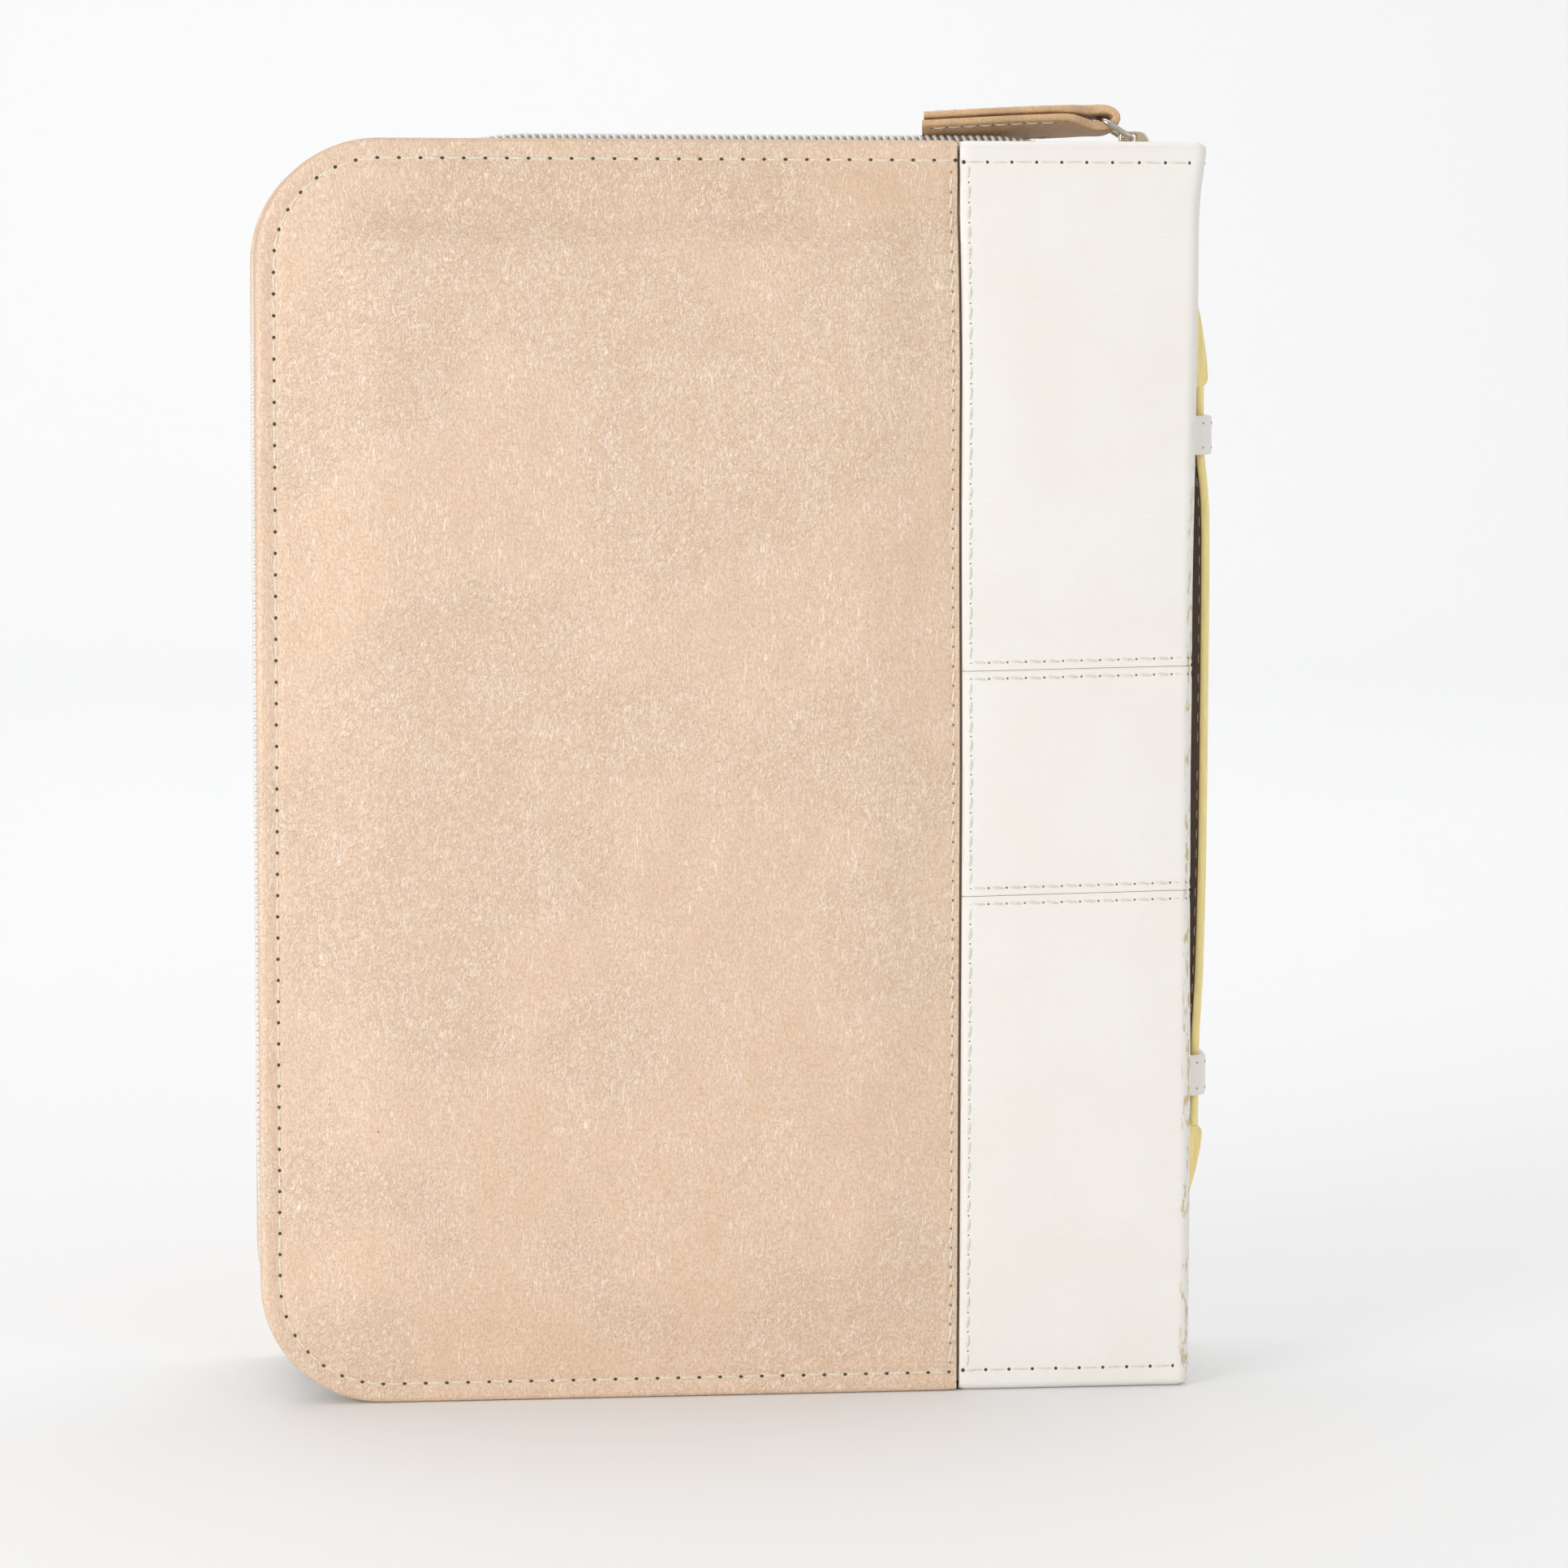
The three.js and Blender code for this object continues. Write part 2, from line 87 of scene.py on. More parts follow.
def smooth(t):
    """3t^2 - 2t^3 of t held between 0 and 1."""
    t = np.clip(t, 0.0, 1.0)
    return t * t * (3.0 - 2.0 * t)


def bump(t):
    """A bell, exp(-t^2)."""
    return np.exp(-np.square(t))


def unit(v):
    """Each vector over its own length."""
    return v / np.maximum(np.linalg.norm(v, axis=-1, keepdims=True), 1e-12)


def quads(rows, cols, wrap_rows=False, wrap_cols=False, start=0):
    """Corner numbers of the faces of a rows x cols grid, joined round where it wraps."""
    i, j = np.meshgrid(
        np.arange(rows if wrap_rows else rows - 1),
        np.arange(cols if wrap_cols else cols - 1),
        indexing="ij",
    )
    a, b = (i + 1) % rows, (j + 1) % cols
    return start + np.stack([i * cols + j, a * cols + j, a * cols + b, i * cols + b], -1).reshape(-1, 4)


def piece(name, verts, faces, materials, slots=None, uv=None, fill=True, sharp=45, weld=True, turned=None):
    """A mesh object from vertex and face arrays: welded, its ends filled, its faces turned outwards.
    turned, a share for each vertex, marks how much painted shade the leather's finish puts on its turned
    edge."""
    mesh = bpy.data.meshes.new(name)
    mesh.from_pydata(np.asarray(verts, float).reshape(-1, 3).tolist(), [], np.asarray(faces).tolist())
    # the share of painted shade on the turned edge, kept as a vertex attribute for the finish
    if turned is not None:
        mark = mesh.attributes.new("painted_edge_shade", "FLOAT", "POINT")
        mark.data.foreach_set("value", np.asarray(turned, np.float32))
    if uv is not None:
        layer = mesh.uv_layers.new(name="UVMap")
        corners = np.empty(len(mesh.loops), int)
        mesh.loops.foreach_get("vertex_index", corners)
        layer.data.foreach_set("uv", np.asarray(uv, np.float32).reshape(-1, 2)[corners].ravel())
    materials = materials if isinstance(materials, (list, tuple)) else [materials]
    for m in materials:
        mesh.materials.append(m)
    if slots is not None:
        mesh.polygons.foreach_set("material_index", np.asarray(slots, np.int32))
    work = bmesh.new()
    work.from_mesh(mesh)
    if weld:
        bmesh.ops.remove_doubles(work, verts=work.verts, dist=2e-6)
    if fill:
        open_edges = [e for e in work.edges if e.is_boundary]
        if open_edges:
            bmesh.ops.holes_fill(work, edges=open_edges, sides=0)
    bmesh.ops.recalc_face_normals(work, faces=work.faces)
    work.to_mesh(mesh)
    work.free()
    obj = bpy.data.objects.new(name, mesh)
    bpy.context.scene.collection.objects.link(obj)
    mesh.shade_smooth()
    mesh.set_sharp_from_angle(angle=math.radians(sharp))
    return obj


def carried(centres, along, across, section):
    """A closed section carried along a path.
    Point (i, k) = centre_i + across_i * section_k,0 + (across_i x along_i) * section_k,1.
    section is (k, 2), or (i, k, 2) where it changes on the way."""
    up = unit(np.cross(across, along))
    sec = np.broadcast_to(section, (len(centres),) + np.shape(section)[-2:])
    return centres[:, None] + across[:, None] * sec[..., :1] + up[:, None] * sec[..., 1:]


def rounded_section(width, thick, radius, steps=4):
    """Rectangle of width x thick with quarter-circle corners, as (k, 2) points."""
    angle = np.linspace(0, np.pi / 2, steps + 1)
    out = []
    for turn, (sx, sy) in enumerate(((1, 1), (-1, 1), (-1, -1), (1, -1))):
        a = angle + turn * np.pi / 2
        cx, cy = sx * (width / 2 - radius), sy * (thick / 2 - radius)
        out.append(np.stack([cx + radius * np.cos(a), cy + radius * np.sin(a)], -1))
    return np.concatenate(out)


def tangents(path):
    """Unit direction of a path at each of its points, by central differences."""
    return unit(np.gradient(path, axis=0))


def spaced(path, pitch):
    """Points a pitch apart along a polyline, ends included, with the fraction of its index."""
    step = np.linalg.norm(np.diff(path, axis=0), axis=1)
    run = np.concatenate([[0], np.cumsum(step)])
    count = max(2, int(round(run[-1] / pitch)) + 1)
    want = np.linspace(0, run[-1], count)
    where = np.interp(want, run, np.arange(len(path)))
    return np.stack([np.interp(want, run, path[:, k]) for k in range(path.shape[1])], -1), where


def softened(node, material, bevel=0.0, segments=2, sharp=40):
    """A welded copy of a CAD node with its edges eased, which stands for that node."""
    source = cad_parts[node]
    mesh = source.data.copy()
    mesh.materials.clear()
    mesh.materials.append(material)
    work = bmesh.new()
    work.from_mesh(mesh)
    bmesh.ops.remove_doubles(work, verts=work.verts, dist=2e-6)
    bmesh.ops.dissolve_limit(work, angle_limit=math.radians(1.0), verts=work.verts, edges=work.edges)
    work.to_mesh(mesh)
    work.free()
    obj = bpy.data.objects.new(f"{node}_made", mesh)
    bpy.context.scene.collection.objects.link(obj)
    mesh.polygons.foreach_set("material_index", np.zeros(len(mesh.polygons), np.int32))
    mesh.shade_smooth()
    mesh.set_sharp_from_angle(angle=math.radians(sharp))
    if bevel:
        mod = obj.modifiers.new("eased edges", "BEVEL")
        mod.width = bevel
        mod.segments = segments
        mod.limit_method = "ANGLE"
        mod.angle_limit = math.radians(35)
        mod.harden_normals = False
    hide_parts(node)
    return obj


def dress(node, material):
    """A CAD node keeps its shape and gets this finish."""
    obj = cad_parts[node]
    obj.data.materials.clear()
    obj.data.materials.append(material)


def placed(obj, body):
    """obj rides on a body."""
    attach(obj, body)
    return obj


# ---------------------------------------------------------------- node groups and finishes


def group(name, inputs, outputs):
    """An empty shader node group with these float inputs and these outputs."""
    tree = bpy.data.node_groups.new(name, "ShaderNodeTree")
    for label, kind, value in inputs:
        socket = tree.interface.new_socket(name=label, in_out="INPUT", socket_type=kind)
        if value is not None:
            socket.default_value = value
    for label, kind in outputs:
        tree.interface.new_socket(name=label, in_out="OUTPUT", socket_type=kind)
    return tree, tree.nodes.new("NodeGroupInput"), tree.nodes.new("NodeGroupOutput")


def node(tree, kind, links=(), **values):
    """A node with its properties and socket values set, and links from other sockets."""
    made = tree.nodes.new(kind)
    for key, value in values.items():
        if key.startswith("at_"):
            made.inputs[int(key[3:])].default_value = value
        else:
            setattr(made, key, value)
    for place, source in links:
        tree.links.new(source, made.inputs[place])
    return made


def stretched_noise(tree, vector, scale, detail=3.0):
    """Fac of a noise read on coordinates multiplied by scale."""
    scaled = node(tree, "ShaderNodeVectorMath", [(0, vector)], operation="MULTIPLY", at_1=scale)
    noise = node(tree, "ShaderNodeTexNoise", [("Vector", scaled.outputs[0])])
    noise.inputs["Scale"].default_value = 1.0
    noise.inputs["Detail"].default_value = detail
    noise.inputs["Roughness"].default_value = 0.6
    return noise.outputs["Fac"]


def ramp(tree, value, low, high, out_low=0.0, out_high=1.0):
    """value mapped from low..high to out_low..out_high, held at both ends."""
    return node(tree, "ShaderNodeMapRange", [("Value", value)], at_1=low, at_2=high,
                at_3=out_low, at_4=out_high).outputs[0]


def math_node(tree, operation, a, b=None, value=0.0):
    """One arithmetic step between two sockets, or a socket and a number."""
    links = [(0, a)] + ([(1, b)] if b is not None else [])
    made = node(tree, "ShaderNodeMath", links, operation=operation)
    if b is None:
        made.inputs[1].default_value = value
    return made.outputs[0]


def times(tree, a, b=None, value=0.0):
    """The product of two sockets, or of a socket and a number."""
    return math_node(tree, "MULTIPLY", a, b, value)


def ridges(tree, vector, scale, width):
    """Thin winding lines, where stretched noise passes its middle value."""
    level = math_node(tree, "SUBTRACT", stretched_noise(tree, vector, scale, 2.0), value=0.5)
    return ramp(tree, math_node(tree, "ABSOLUTE", level), 0.0, width, 1.0, 0.0)


def grain_group():
    """Pressed leather grain: fine wrinkles, creases, short upright light strokes, soft mottling and specks.
    Heights and masks change over Object coordinates, in metres."""
    inputs = [("Vector", "NodeSocketVector", None), ("Strokes", "NodeSocketFloat", 1.0)]
    outputs = [("Strokes", "NodeSocketFloat"), ("Wrinkles", "NodeSocketFloat"),
               ("Creases", "NodeSocketFloat"), ("Mottle", "NodeSocketFloat"), ("Specks", "NodeSocketFloat"),
               ("Pebble", "NodeSocketFloat"),
               ("Height", "NodeSocketFloat")]
    tree, start, end = group("pressed leather grain", inputs, outputs)
    where = start.outputs["Vector"]
    bend = node(tree, "ShaderNodeTexNoise", [("Vector", where)])
    bend.inputs["Scale"].default_value = 420.0
    bend.inputs["Detail"].default_value = 2.0
    drift = node(tree, "ShaderNodeVectorMath", [(0, bend.outputs["Color"])], operation="MULTIPLY",
                 at_1=(0.0011, 0.0011, 0.0011))
    bent = node(tree, "ShaderNodeVectorMath", [(0, where), (1, drift.outputs[0])], operation="ADD").outputs[0]
    upright = stretched_noise(tree, bent, (3200.0, 3200.0, 430.0), 2.0)
    patch = stretched_noise(tree, where, (110.0, 110.0, 60.0), 2.0)
    strokes = ramp(tree, upright, 0.56, 0.65)
    turned = tree.nodes.new("ShaderNodeVectorRotate")
    turned.rotation_type = "Y_AXIS"
    turned.inputs["Angle"].default_value = -0.95
    tree.links.new(bent, turned.inputs["Vector"])
    across = ramp(tree, stretched_noise(tree, where, (26.0, 26.0, 26.0), 1.0), 0.44, 0.56)
    straight = ridges(tree, bent, (1150.0, 1150.0, 430.0), 0.055)
    slanting = ridges(tree, turned.outputs[0], (1150.0, 1150.0, 480.0), 0.055)
    # in the patches that have creases, the slanting ones are taken from the straight ones
    slant_share = times(tree, across, value=-1.0)
    creases = math_node(tree, "ADD", times(tree, straight, across), times(tree, slanting, slant_share))
    strokes = times(tree, strokes, ramp(tree, patch, 0.38, 0.60, 0.15, 1.0))
    strokes = times(tree, strokes, start.outputs["Strokes"])
    cells = node(tree, "ShaderNodeTexVoronoi", [("Vector", bent)], feature="DISTANCE_TO_EDGE")
    cells.inputs["Scale"].default_value = 900.0
    wrinkles = ramp(tree, cells.outputs["Distance"], 0.0, 0.13, 1.0, 0.0)
    level = stretched_noise(tree, bent, (650.0, 650.0, 2100.0), 3.0)
    wrinkles = times(tree, wrinkles, ramp(tree, level, 0.42, 0.6, 0.15, 1.0))
    dots = node(tree, "ShaderNodeTexVoronoi", [("Vector", where)], feature="F1")
    dots.inputs["Scale"].default_value = 95.0
    dots.inputs["Randomness"].default_value = 1.0
    pick = node(tree, "ShaderNodeSeparateColor", [(0, dots.outputs["Color"])])
    specks = times(tree, ramp(tree, dots.outputs["Distance"], 0.012, 0.03, 1.0, 0.0),
                       ramp(tree, pick.outputs[0], 0.86, 0.9))
    height = math_node(tree, "SUBTRACT", times(tree, strokes, value=0.6),
                       times(tree, wrinkles, value=0.7))
    pebble = ramp(tree, stretched_noise(tree, bent, (1900.0, 1900.0, 1500.0), 2.0), 0.34, 0.66)
    height = math_node(tree, "ADD", height, times(tree, pebble, value=0.9))
    height = math_node(tree, "ADD", height, times(tree, creases, value=0.9))
    results = {"Strokes": strokes, "Wrinkles": wrinkles, "Creases": creases, "Mottle": patch,
               "Specks": specks, "Pebble": pebble, "Height": height}
    for label, socket in results.items():
        tree.links.new(socket, end.inputs[label])
    return tree


def ribbed_group():
    """Fine level ribs broken by noise, as on calendered leather and on sawn page edges."""
    inputs = [("Vector", "NodeSocketVector", None), ("Across", "NodeSocketVector", (300.0, 300.0, 2600.0))]
    outputs = [("Ribs", "NodeSocketFloat"), ("Cloud", "NodeSocketFloat")]
    tree, start, end = group("fine level ribs", inputs, outputs)
    scaled = node(tree, "ShaderNodeVectorMath", [(0, start.outputs["Vector"]), (1, start.outputs["Across"])],
                  operation="MULTIPLY")
    noise = node(tree, "ShaderNodeTexNoise", [("Vector", scaled.outputs[0])])
    noise.inputs["Scale"].default_value = 1.0
    noise.inputs["Detail"].default_value = 3.0
    cloud = node(tree, "ShaderNodeTexNoise", [("Vector", start.outputs["Vector"])])
    cloud.inputs["Scale"].default_value = 45.0
    cloud.inputs["Detail"].default_value = 3.0
    tree.links.new(noise.outputs["Fac"], end.inputs["Ribs"])
    tree.links.new(cloud.outputs["Fac"], end.inputs["Cloud"])
    return tree


def weave_group():
    """Plain weave: the larger of |sin x sin y| and 0.85 |sin z| of the coordinates times the thread count."""
    inputs = [("Vector", "NodeSocketVector", None), ("Threads", "NodeSocketFloat", 2200.0)]
    outputs = [("Weave", "NodeSocketFloat"), ("Slub", "NodeSocketFloat")]
    tree, start, end = group("plain weave", inputs, outputs)
    scaled = node(tree, "ShaderNodeVectorMath", [(0, start.outputs["Vector"])], operation="SCALE")
    tree.links.new(start.outputs["Threads"], scaled.inputs["Scale"])
    parts = node(tree, "ShaderNodeSeparateXYZ", [(0, scaled.outputs[0])])
    waves = [math_node(tree, "ABSOLUTE", math_node(tree, "SINE", parts.outputs[k])) for k in range(3)]
    first = times(tree, waves[0], waves[1])
    total = math_node(tree, "MAXIMUM", first, times(tree, waves[2], value=0.85))
    slub = stretched_noise(tree, start.outputs["Vector"], (900.0, 900.0, 120.0), 3.0)
    tree.links.new(total, end.inputs["Weave"])
    tree.links.new(slub, end.inputs["Slub"])
    return tree


GROUPS = {}


def shared(name):
    """The node group of that name, built the first time it is asked for."""
    makers = {"grain": grain_group, "ribs": ribbed_group, "weave": weave_group}
    if name not in GROUPS:
        GROUPS[name] = makers[name]()
    return GROUPS[name]


def start_finish(name, colour, rough, metal=0.0, **sockets):
    """A material with its Principled shader set, and the Object coordinates."""
    material = bpy.data.materials.new(name)
    material.use_nodes = True
    tree = material.node_tree
    shader = tree.nodes["Principled BSDF"]
    shader.inputs["Base Color"].default_value = (*colour, 1.0)
    shader.inputs["Roughness"].default_value = rough
    shader.inputs["Metallic"].default_value = metal
    for key, value in sockets.items():
        shader.inputs[key.replace("_", " ").title().replace("Ior", "IOR")].default_value = value
    where = tree.nodes.new("ShaderNodeTexCoord").outputs["Object"]
    material.diffuse_color = (*colour, 1.0)
    return material, tree, shader, where


def use(tree, name, where):
    """The shared group placed in a material, fed with the coordinates."""
    made = tree.nodes.new("ShaderNodeGroup")
    made.node_tree = shared(name)
    tree.links.new(where, made.inputs["Vector"])
    return made


def tint(tree, factor, below, above):
    """Colour between two by a mask. Either may be a socket or a colour."""
    mix = tree.nodes.new("ShaderNodeMix")
    mix.data_type = "RGBA"
    tree.links.new(factor, mix.inputs[0])
    for place, value in ((6, below), (7, above)):
        if isinstance(value, tuple):
            mix.inputs[place].default_value = (*value, 1.0)
        else:
            tree.links.new(value, mix.inputs[place])
    return mix.outputs[2]


def raise_by(tree, shader, height, strength, distance):
    """The height bends the shader's normal."""
    made = node(tree, "ShaderNodeBump", [("Height", height)])
    made.inputs["Strength"].default_value = strength
    made.inputs["Distance"].default_value = distance
    tree.links.new(made.outputs[0], shader.inputs["Normal"])


def shade(colour, red, green=None, blue=None):
    """A colour times one factor, or one for each channel, held at 1."""
    factors = (red, red if green is None else green, red if blue is None else blue)
    return tuple(min(1.0, c * factor) for c, factor in zip(colour, factors))


FINISHES = {}


def finish(name):
    """The named material, made once from its own function."""
    if name not in FINISHES:
        FINISHES[name] = FINISH_MAKERS[name]()
    return FINISHES[name]


def colours():
    """The colour settings on the scene."""
    return bpy.context.scene.prayer_book_colours


def rose_leather():
    """Champagne faux leather: pearly coat, pressed creases, light upright strokes, a few dark specks,
    painted shade in a band under the top row of stitches and painted shade on the turned edge."""
    base = tuple(colours().rose)
    material, tree, shader, where = start_finish(
        "rose leather", base, 0.46, 0.12, coat_weight=0.5, coat_roughness=0.46, specular_ior_level=0.5)
    grain = use(tree, "grain", where)
    mottled = tint(tree, ramp(tree, grain.outputs["Mottle"], 0.3, 0.7), shade(base, 0.97),
                   shade(base, 1.02, 1.015, 1.03))
    pebbled = tint(tree, ramp(tree, grain.outputs["Pebble"], 0.0, 1.0, 0.55, 0.0), mottled,
                   shade(base, 0.76, 0.69, 0.62))
    wrinkled = tint(tree, times(tree, grain.outputs["Wrinkles"], value=0.55), pebbled,
                    shade(base, 0.76, 0.66, 0.58))
    x, _, z = node(tree, "ShaderNodeSeparateXYZ", [(0, where)]).outputs
    # painted shade: a darker band under the top row of stitches, from 20 mm in from the fore-edge
    painted_top_shade = times(tree, ramp(tree, z, HEIGHT - 22 * MM, HEIGHT - 11 * MM),
                      ramp(tree, z, HEIGHT - 7 * MM, HEIGHT - 4.5 * MM, 1.0, 0.0))
    painted_top_shade = times(tree, painted_top_shade, ramp(tree, x, X_FORE + 20 * MM, X_FORE + 45 * MM))
    wrinkled = tint(tree, times(tree, painted_top_shade, value=0.34), wrinkled,
                    shade(base, 0.76, 0.70, 0.60))
    creased = tint(tree, times(tree, grain.outputs["Creases"], value=0.85), wrinkled,
                   shade(base, 1.14, 1.25, 1.40))
    stroked = tint(tree, times(tree, grain.outputs["Strokes"], value=0.9), creased,
                   shade(base, 1.16, 1.30, 1.55))
    specked = tint(tree, grain.outputs["Specks"], stroked, (0.20, 0.13, 0.09))
    # painted shade on the turned edge, by the share that the skin gives each vertex
    edge = node(tree, "ShaderNodeAttribute", attribute_name="painted_edge_shade").outputs["Fac"]
    specked = tint(tree, times(tree, edge, value=0.6), specked,
                   shade(base, 0.62, 0.50, 0.40))
    tree.links.new(specked, shader.inputs["Base Color"])
    tree.links.new(ramp(tree, grain.outputs["Strokes"], 0.0, 1.0, 0.48, 0.36), shader.inputs["Roughness"])
    raise_by(tree, shader, grain.outputs["Height"], 0.7, 0.00012)
    return material


def cream_leather():
    """Off-white faux leather with faint level ribs, soft clouding and rare specks, flaked a little where it
    turns round the lower part of the spine's corners."""
    base = tuple(colours().cream)
    material, tree, shader, where = start_finish("cream leather", base, 0.5, specular_ior_level=0.45)
    ribs = use(tree, "ribs", where)
    grain = use(tree, "grain", where)
    clouded = tint(tree, ramp(tree, ribs.outputs["Cloud"], 0.35, 0.65),
                   shade(base, 0.985, 0.985, 0.965), shade(base, 1.01))
    ribbed = tint(tree, ramp(tree, ribs.outputs["Ribs"], 0.5, 0.7, 0.0, 0.10), clouded, shade(base, 0.82))
    specked = tint(tree, times(tree, grain.outputs["Specks"], value=0.7), ribbed,
                   (0.35, 0.30, 0.22))
    x, y, z = node(tree, "ShaderNodeSeparateXYZ", [(0, where)]).outputs
    deep = ramp(tree, math_node(tree, "ABSOLUTE", y), 23.2 * MM, 24.0 * MM)
    at_corner = times(tree, deep, ramp(tree, x, X_SPINE - 1.9 * MM, X_SPINE - 1.2 * MM))
    flaked = ramp(tree, stretched_noise(tree, where, (900.0, 900.0, 260.0)), 0.53, 0.60)
    low_down = ramp(tree, z, 160 * MM, 205 * MM, 1.0, 0.0)
    worn = times(tree, times(tree, at_corner, flaked), low_down)
    specked = tint(tree, worn, specked, (0.62, 0.52, 0.30))
    tree.links.new(specked, shader.inputs["Base Color"])
    tree.links.new(ramp(tree, ribs.outputs["Ribs"], 0.3, 0.7, 0.44, 0.56), shader.inputs["Roughness"])
    total = math_node(tree, "ADD", ribs.outputs["Ribs"],
                      times(tree, grain.outputs["Height"], value=0.25))
    raise_by(tree, shader, total, 0.35, 0.00008)
    return material


def brown_leather(name, base, rough=0.42, metal=0.15, strength=0.5):
    """Bronze leather with a satin coat and fine wrinkles that go darker."""
    material, tree, shader, where = start_finish(name, base, rough, metal, coat_weight=0.15,
                                                 coat_roughness=0.3)
    grain = use(tree, "grain", where)
    worn = tint(tree, ramp(tree, grain.outputs["Mottle"], 0.3, 0.7), shade(base, 0.85), shade(base, 1.12))
    lined = tint(tree, times(tree, grain.outputs["Wrinkles"], value=0.6), worn,
                 shade(base, 0.6))
    tree.links.new(lined, shader.inputs["Base Color"])
    tree.links.new(ramp(tree, grain.outputs["Mottle"], 0.3, 0.7, rough - 0.05, rough + 0.08),
                   shader.inputs["Roughness"])
    raise_by(tree, shader, grain.outputs["Height"], strength, 0.00010)
    return material


def tab_leather():
    """The pull tab's bronze leather."""
    return brown_leather("bronze leather", tuple(colours().tab))


def tab_edge():
    """The tab's turned edge, a little lighter than its face."""
    return brown_leather("turned leather edge", shade(tuple(colours().tab), 1.18), 0.48, 0.05, 0.35)


def binding_glue():
    """Glued and lined back of the leaves."""
    return board_stock("binding mull", (0.62, 0.55, 0.43))


def strap_lining_and_shade():
    """The strap's brown underside, its darkness partly painted shade of the narrow gap between strap and
    spine.
    """
    # brown lining, darkened further as painted shade of the gap by the spine
    return brown_leather("dark strap lining and shade", (0.19, 0.095, 0.032), 0.75, 0.0)


def edge_paint():
    """Yellow-cream edge paint with brush streaks along the strap."""
    base = tuple(colours().edge)
    material, tree, shader, where = start_finish("edge paint", base, 0.38, coat_weight=0.2)
    streak = stretched_noise(tree, where, (1500.0, 900.0, 160.0))
    tree.links.new(tint(tree, ramp(tree, streak, 0.35, 0.65), shade(base, 0.90), shade(base, 1.06)),
                   shader.inputs["Base Color"])
    raise_by(tree, shader, streak, 0.3, 0.00010)
    return material


def cloth(name, base, threads=2200.0, rough=0.85, depth=0.00012, **sockets):
    """Plain woven cloth: weave height, slubs in the colour."""
    material, tree, shader, where = start_finish(name, base, rough, **sockets)
    weave = use(tree, "weave", where)
    weave.inputs["Threads"].default_value = threads
    slubbed = tint(tree, ramp(tree, weave.outputs["Slub"], 0.35, 0.65), shade(base, 0.93), shade(base, 1.04))
    valleys = ramp(tree, weave.outputs["Weave"], 0.0, 1.0, 0.35, 0.0)
    tree.links.new(tint(tree, valleys, slubbed, shade(base, 0.6)),
                   shader.inputs["Base Color"])
    raise_by(tree, shader, weave.outputs["Weave"], 0.7, depth)
    return material


def lining_cloth():
    """Beige lining."""
    return cloth("lining cloth", (0.62, 0.53, 0.42), 2600.0, sheen_weight=0.2)


def zip_tape_cloth():
    """White woven zip tape."""
    return cloth("zip tape", (0.80, 0.78, 0.74), 5200.0, depth=0.00008)


def book_cloth():
    """Dark book cloth."""
    return cloth("book cloth", (0.085, 0.030, 0.026), 3000.0, 0.7)


def thread(name="sewing thread", base=(0.83, 0.76, 0.62)):
    """Twisted thread: slanting light and dark plies."""
    material, tree, shader, where = start_finish(name, base, 0.55, sheen_weight=0.25)
    ply = stretched_noise(tree, where, (4200.0, 4200.0, 4200.0), 1.0)
    tree.links.new(tint(tree, ramp(tree, ply, 0.35, 0.65), shade(base, 0.78), shade(base, 1.12)),
                   shader.inputs["Base Color"])
    raise_by(tree, shader, ply, 0.5, 0.0001)
    return material


def pale_thread():
    """Thread on the cream leather, near its colour."""
    return thread("pale sewing thread", (0.76, 0.74, 0.63))


def needle_hole():
    """Painted shade of a needle hole: dark, a little lighter at random."""
    material, tree, shader, where = start_finish("needle hole", (0.06, 0.04, 0.025), 0.9)
    spot = stretched_noise(tree, where, (700.0, 700.0, 700.0), 1.0)
    tree.links.new(tint(tree, spot, (0.035, 0.022, 0.012), (0.14, 0.09, 0.05)), shader.inputs["Base Color"])
    return material


def small_hole():
    """Shallow needle hole half filled by the thread: olive grey, partly the thread's colour and partly
    painted shade.
    """
    material, tree, shader, where = start_finish("small needle hole", (0.25, 0.21, 0.14), 0.9)
    spot = stretched_noise(tree, where, (700.0, 700.0, 700.0), 1.0)
    tree.links.new(tint(tree, spot, (0.14, 0.11, 0.07), (0.40, 0.35, 0.25)), shader.inputs["Base Color"])
    return material


def nylon():
    """Milky nylon teeth, lit through a little."""
    material, tree, shader, where = start_finish(
        "milky nylon", (0.88, 0.87, 0.84), 0.28, subsurface_weight=0.5, coat_weight=0.2)
    shader.inputs["Subsurface Radius"].default_value = (0.0012, 0.0011, 0.0010)
    haze = stretched_noise(tree, where, (500.0, 500.0, 500.0))
    tree.links.new(tint(tree, haze, (0.74, 0.72, 0.68), (0.90, 0.89, 0.87)), shader.inputs["Base Color"])
    return material


def plated(name, base, rough):
    """Plated metal with fine handling marks."""
    material, tree, shader, where = start_finish(name, base, rough, 1.0)
    marks = stretched_noise(tree, where, (900.0, 2600.0, 900.0))
    tree.links.new(ramp(tree, marks, 0.3, 0.7, rough - 0.08, rough + 0.14), shader.inputs["Roughness"])
    tree.links.new(tint(tree, marks, shade(base, 0.92), shade(base, 1.05)), shader.inputs["Base Color"])
    raise_by(tree, shader, marks, 0.15, 0.00004)
    return material


def pale_gold():
    """Pale gold plate."""
    return plated("pale gold plate", (0.80, 0.68, 0.48), 0.28)


def nickel():
    """Nickel wire."""
    return plated("nickel wire", (0.62, 0.58, 0.53), 0.2)


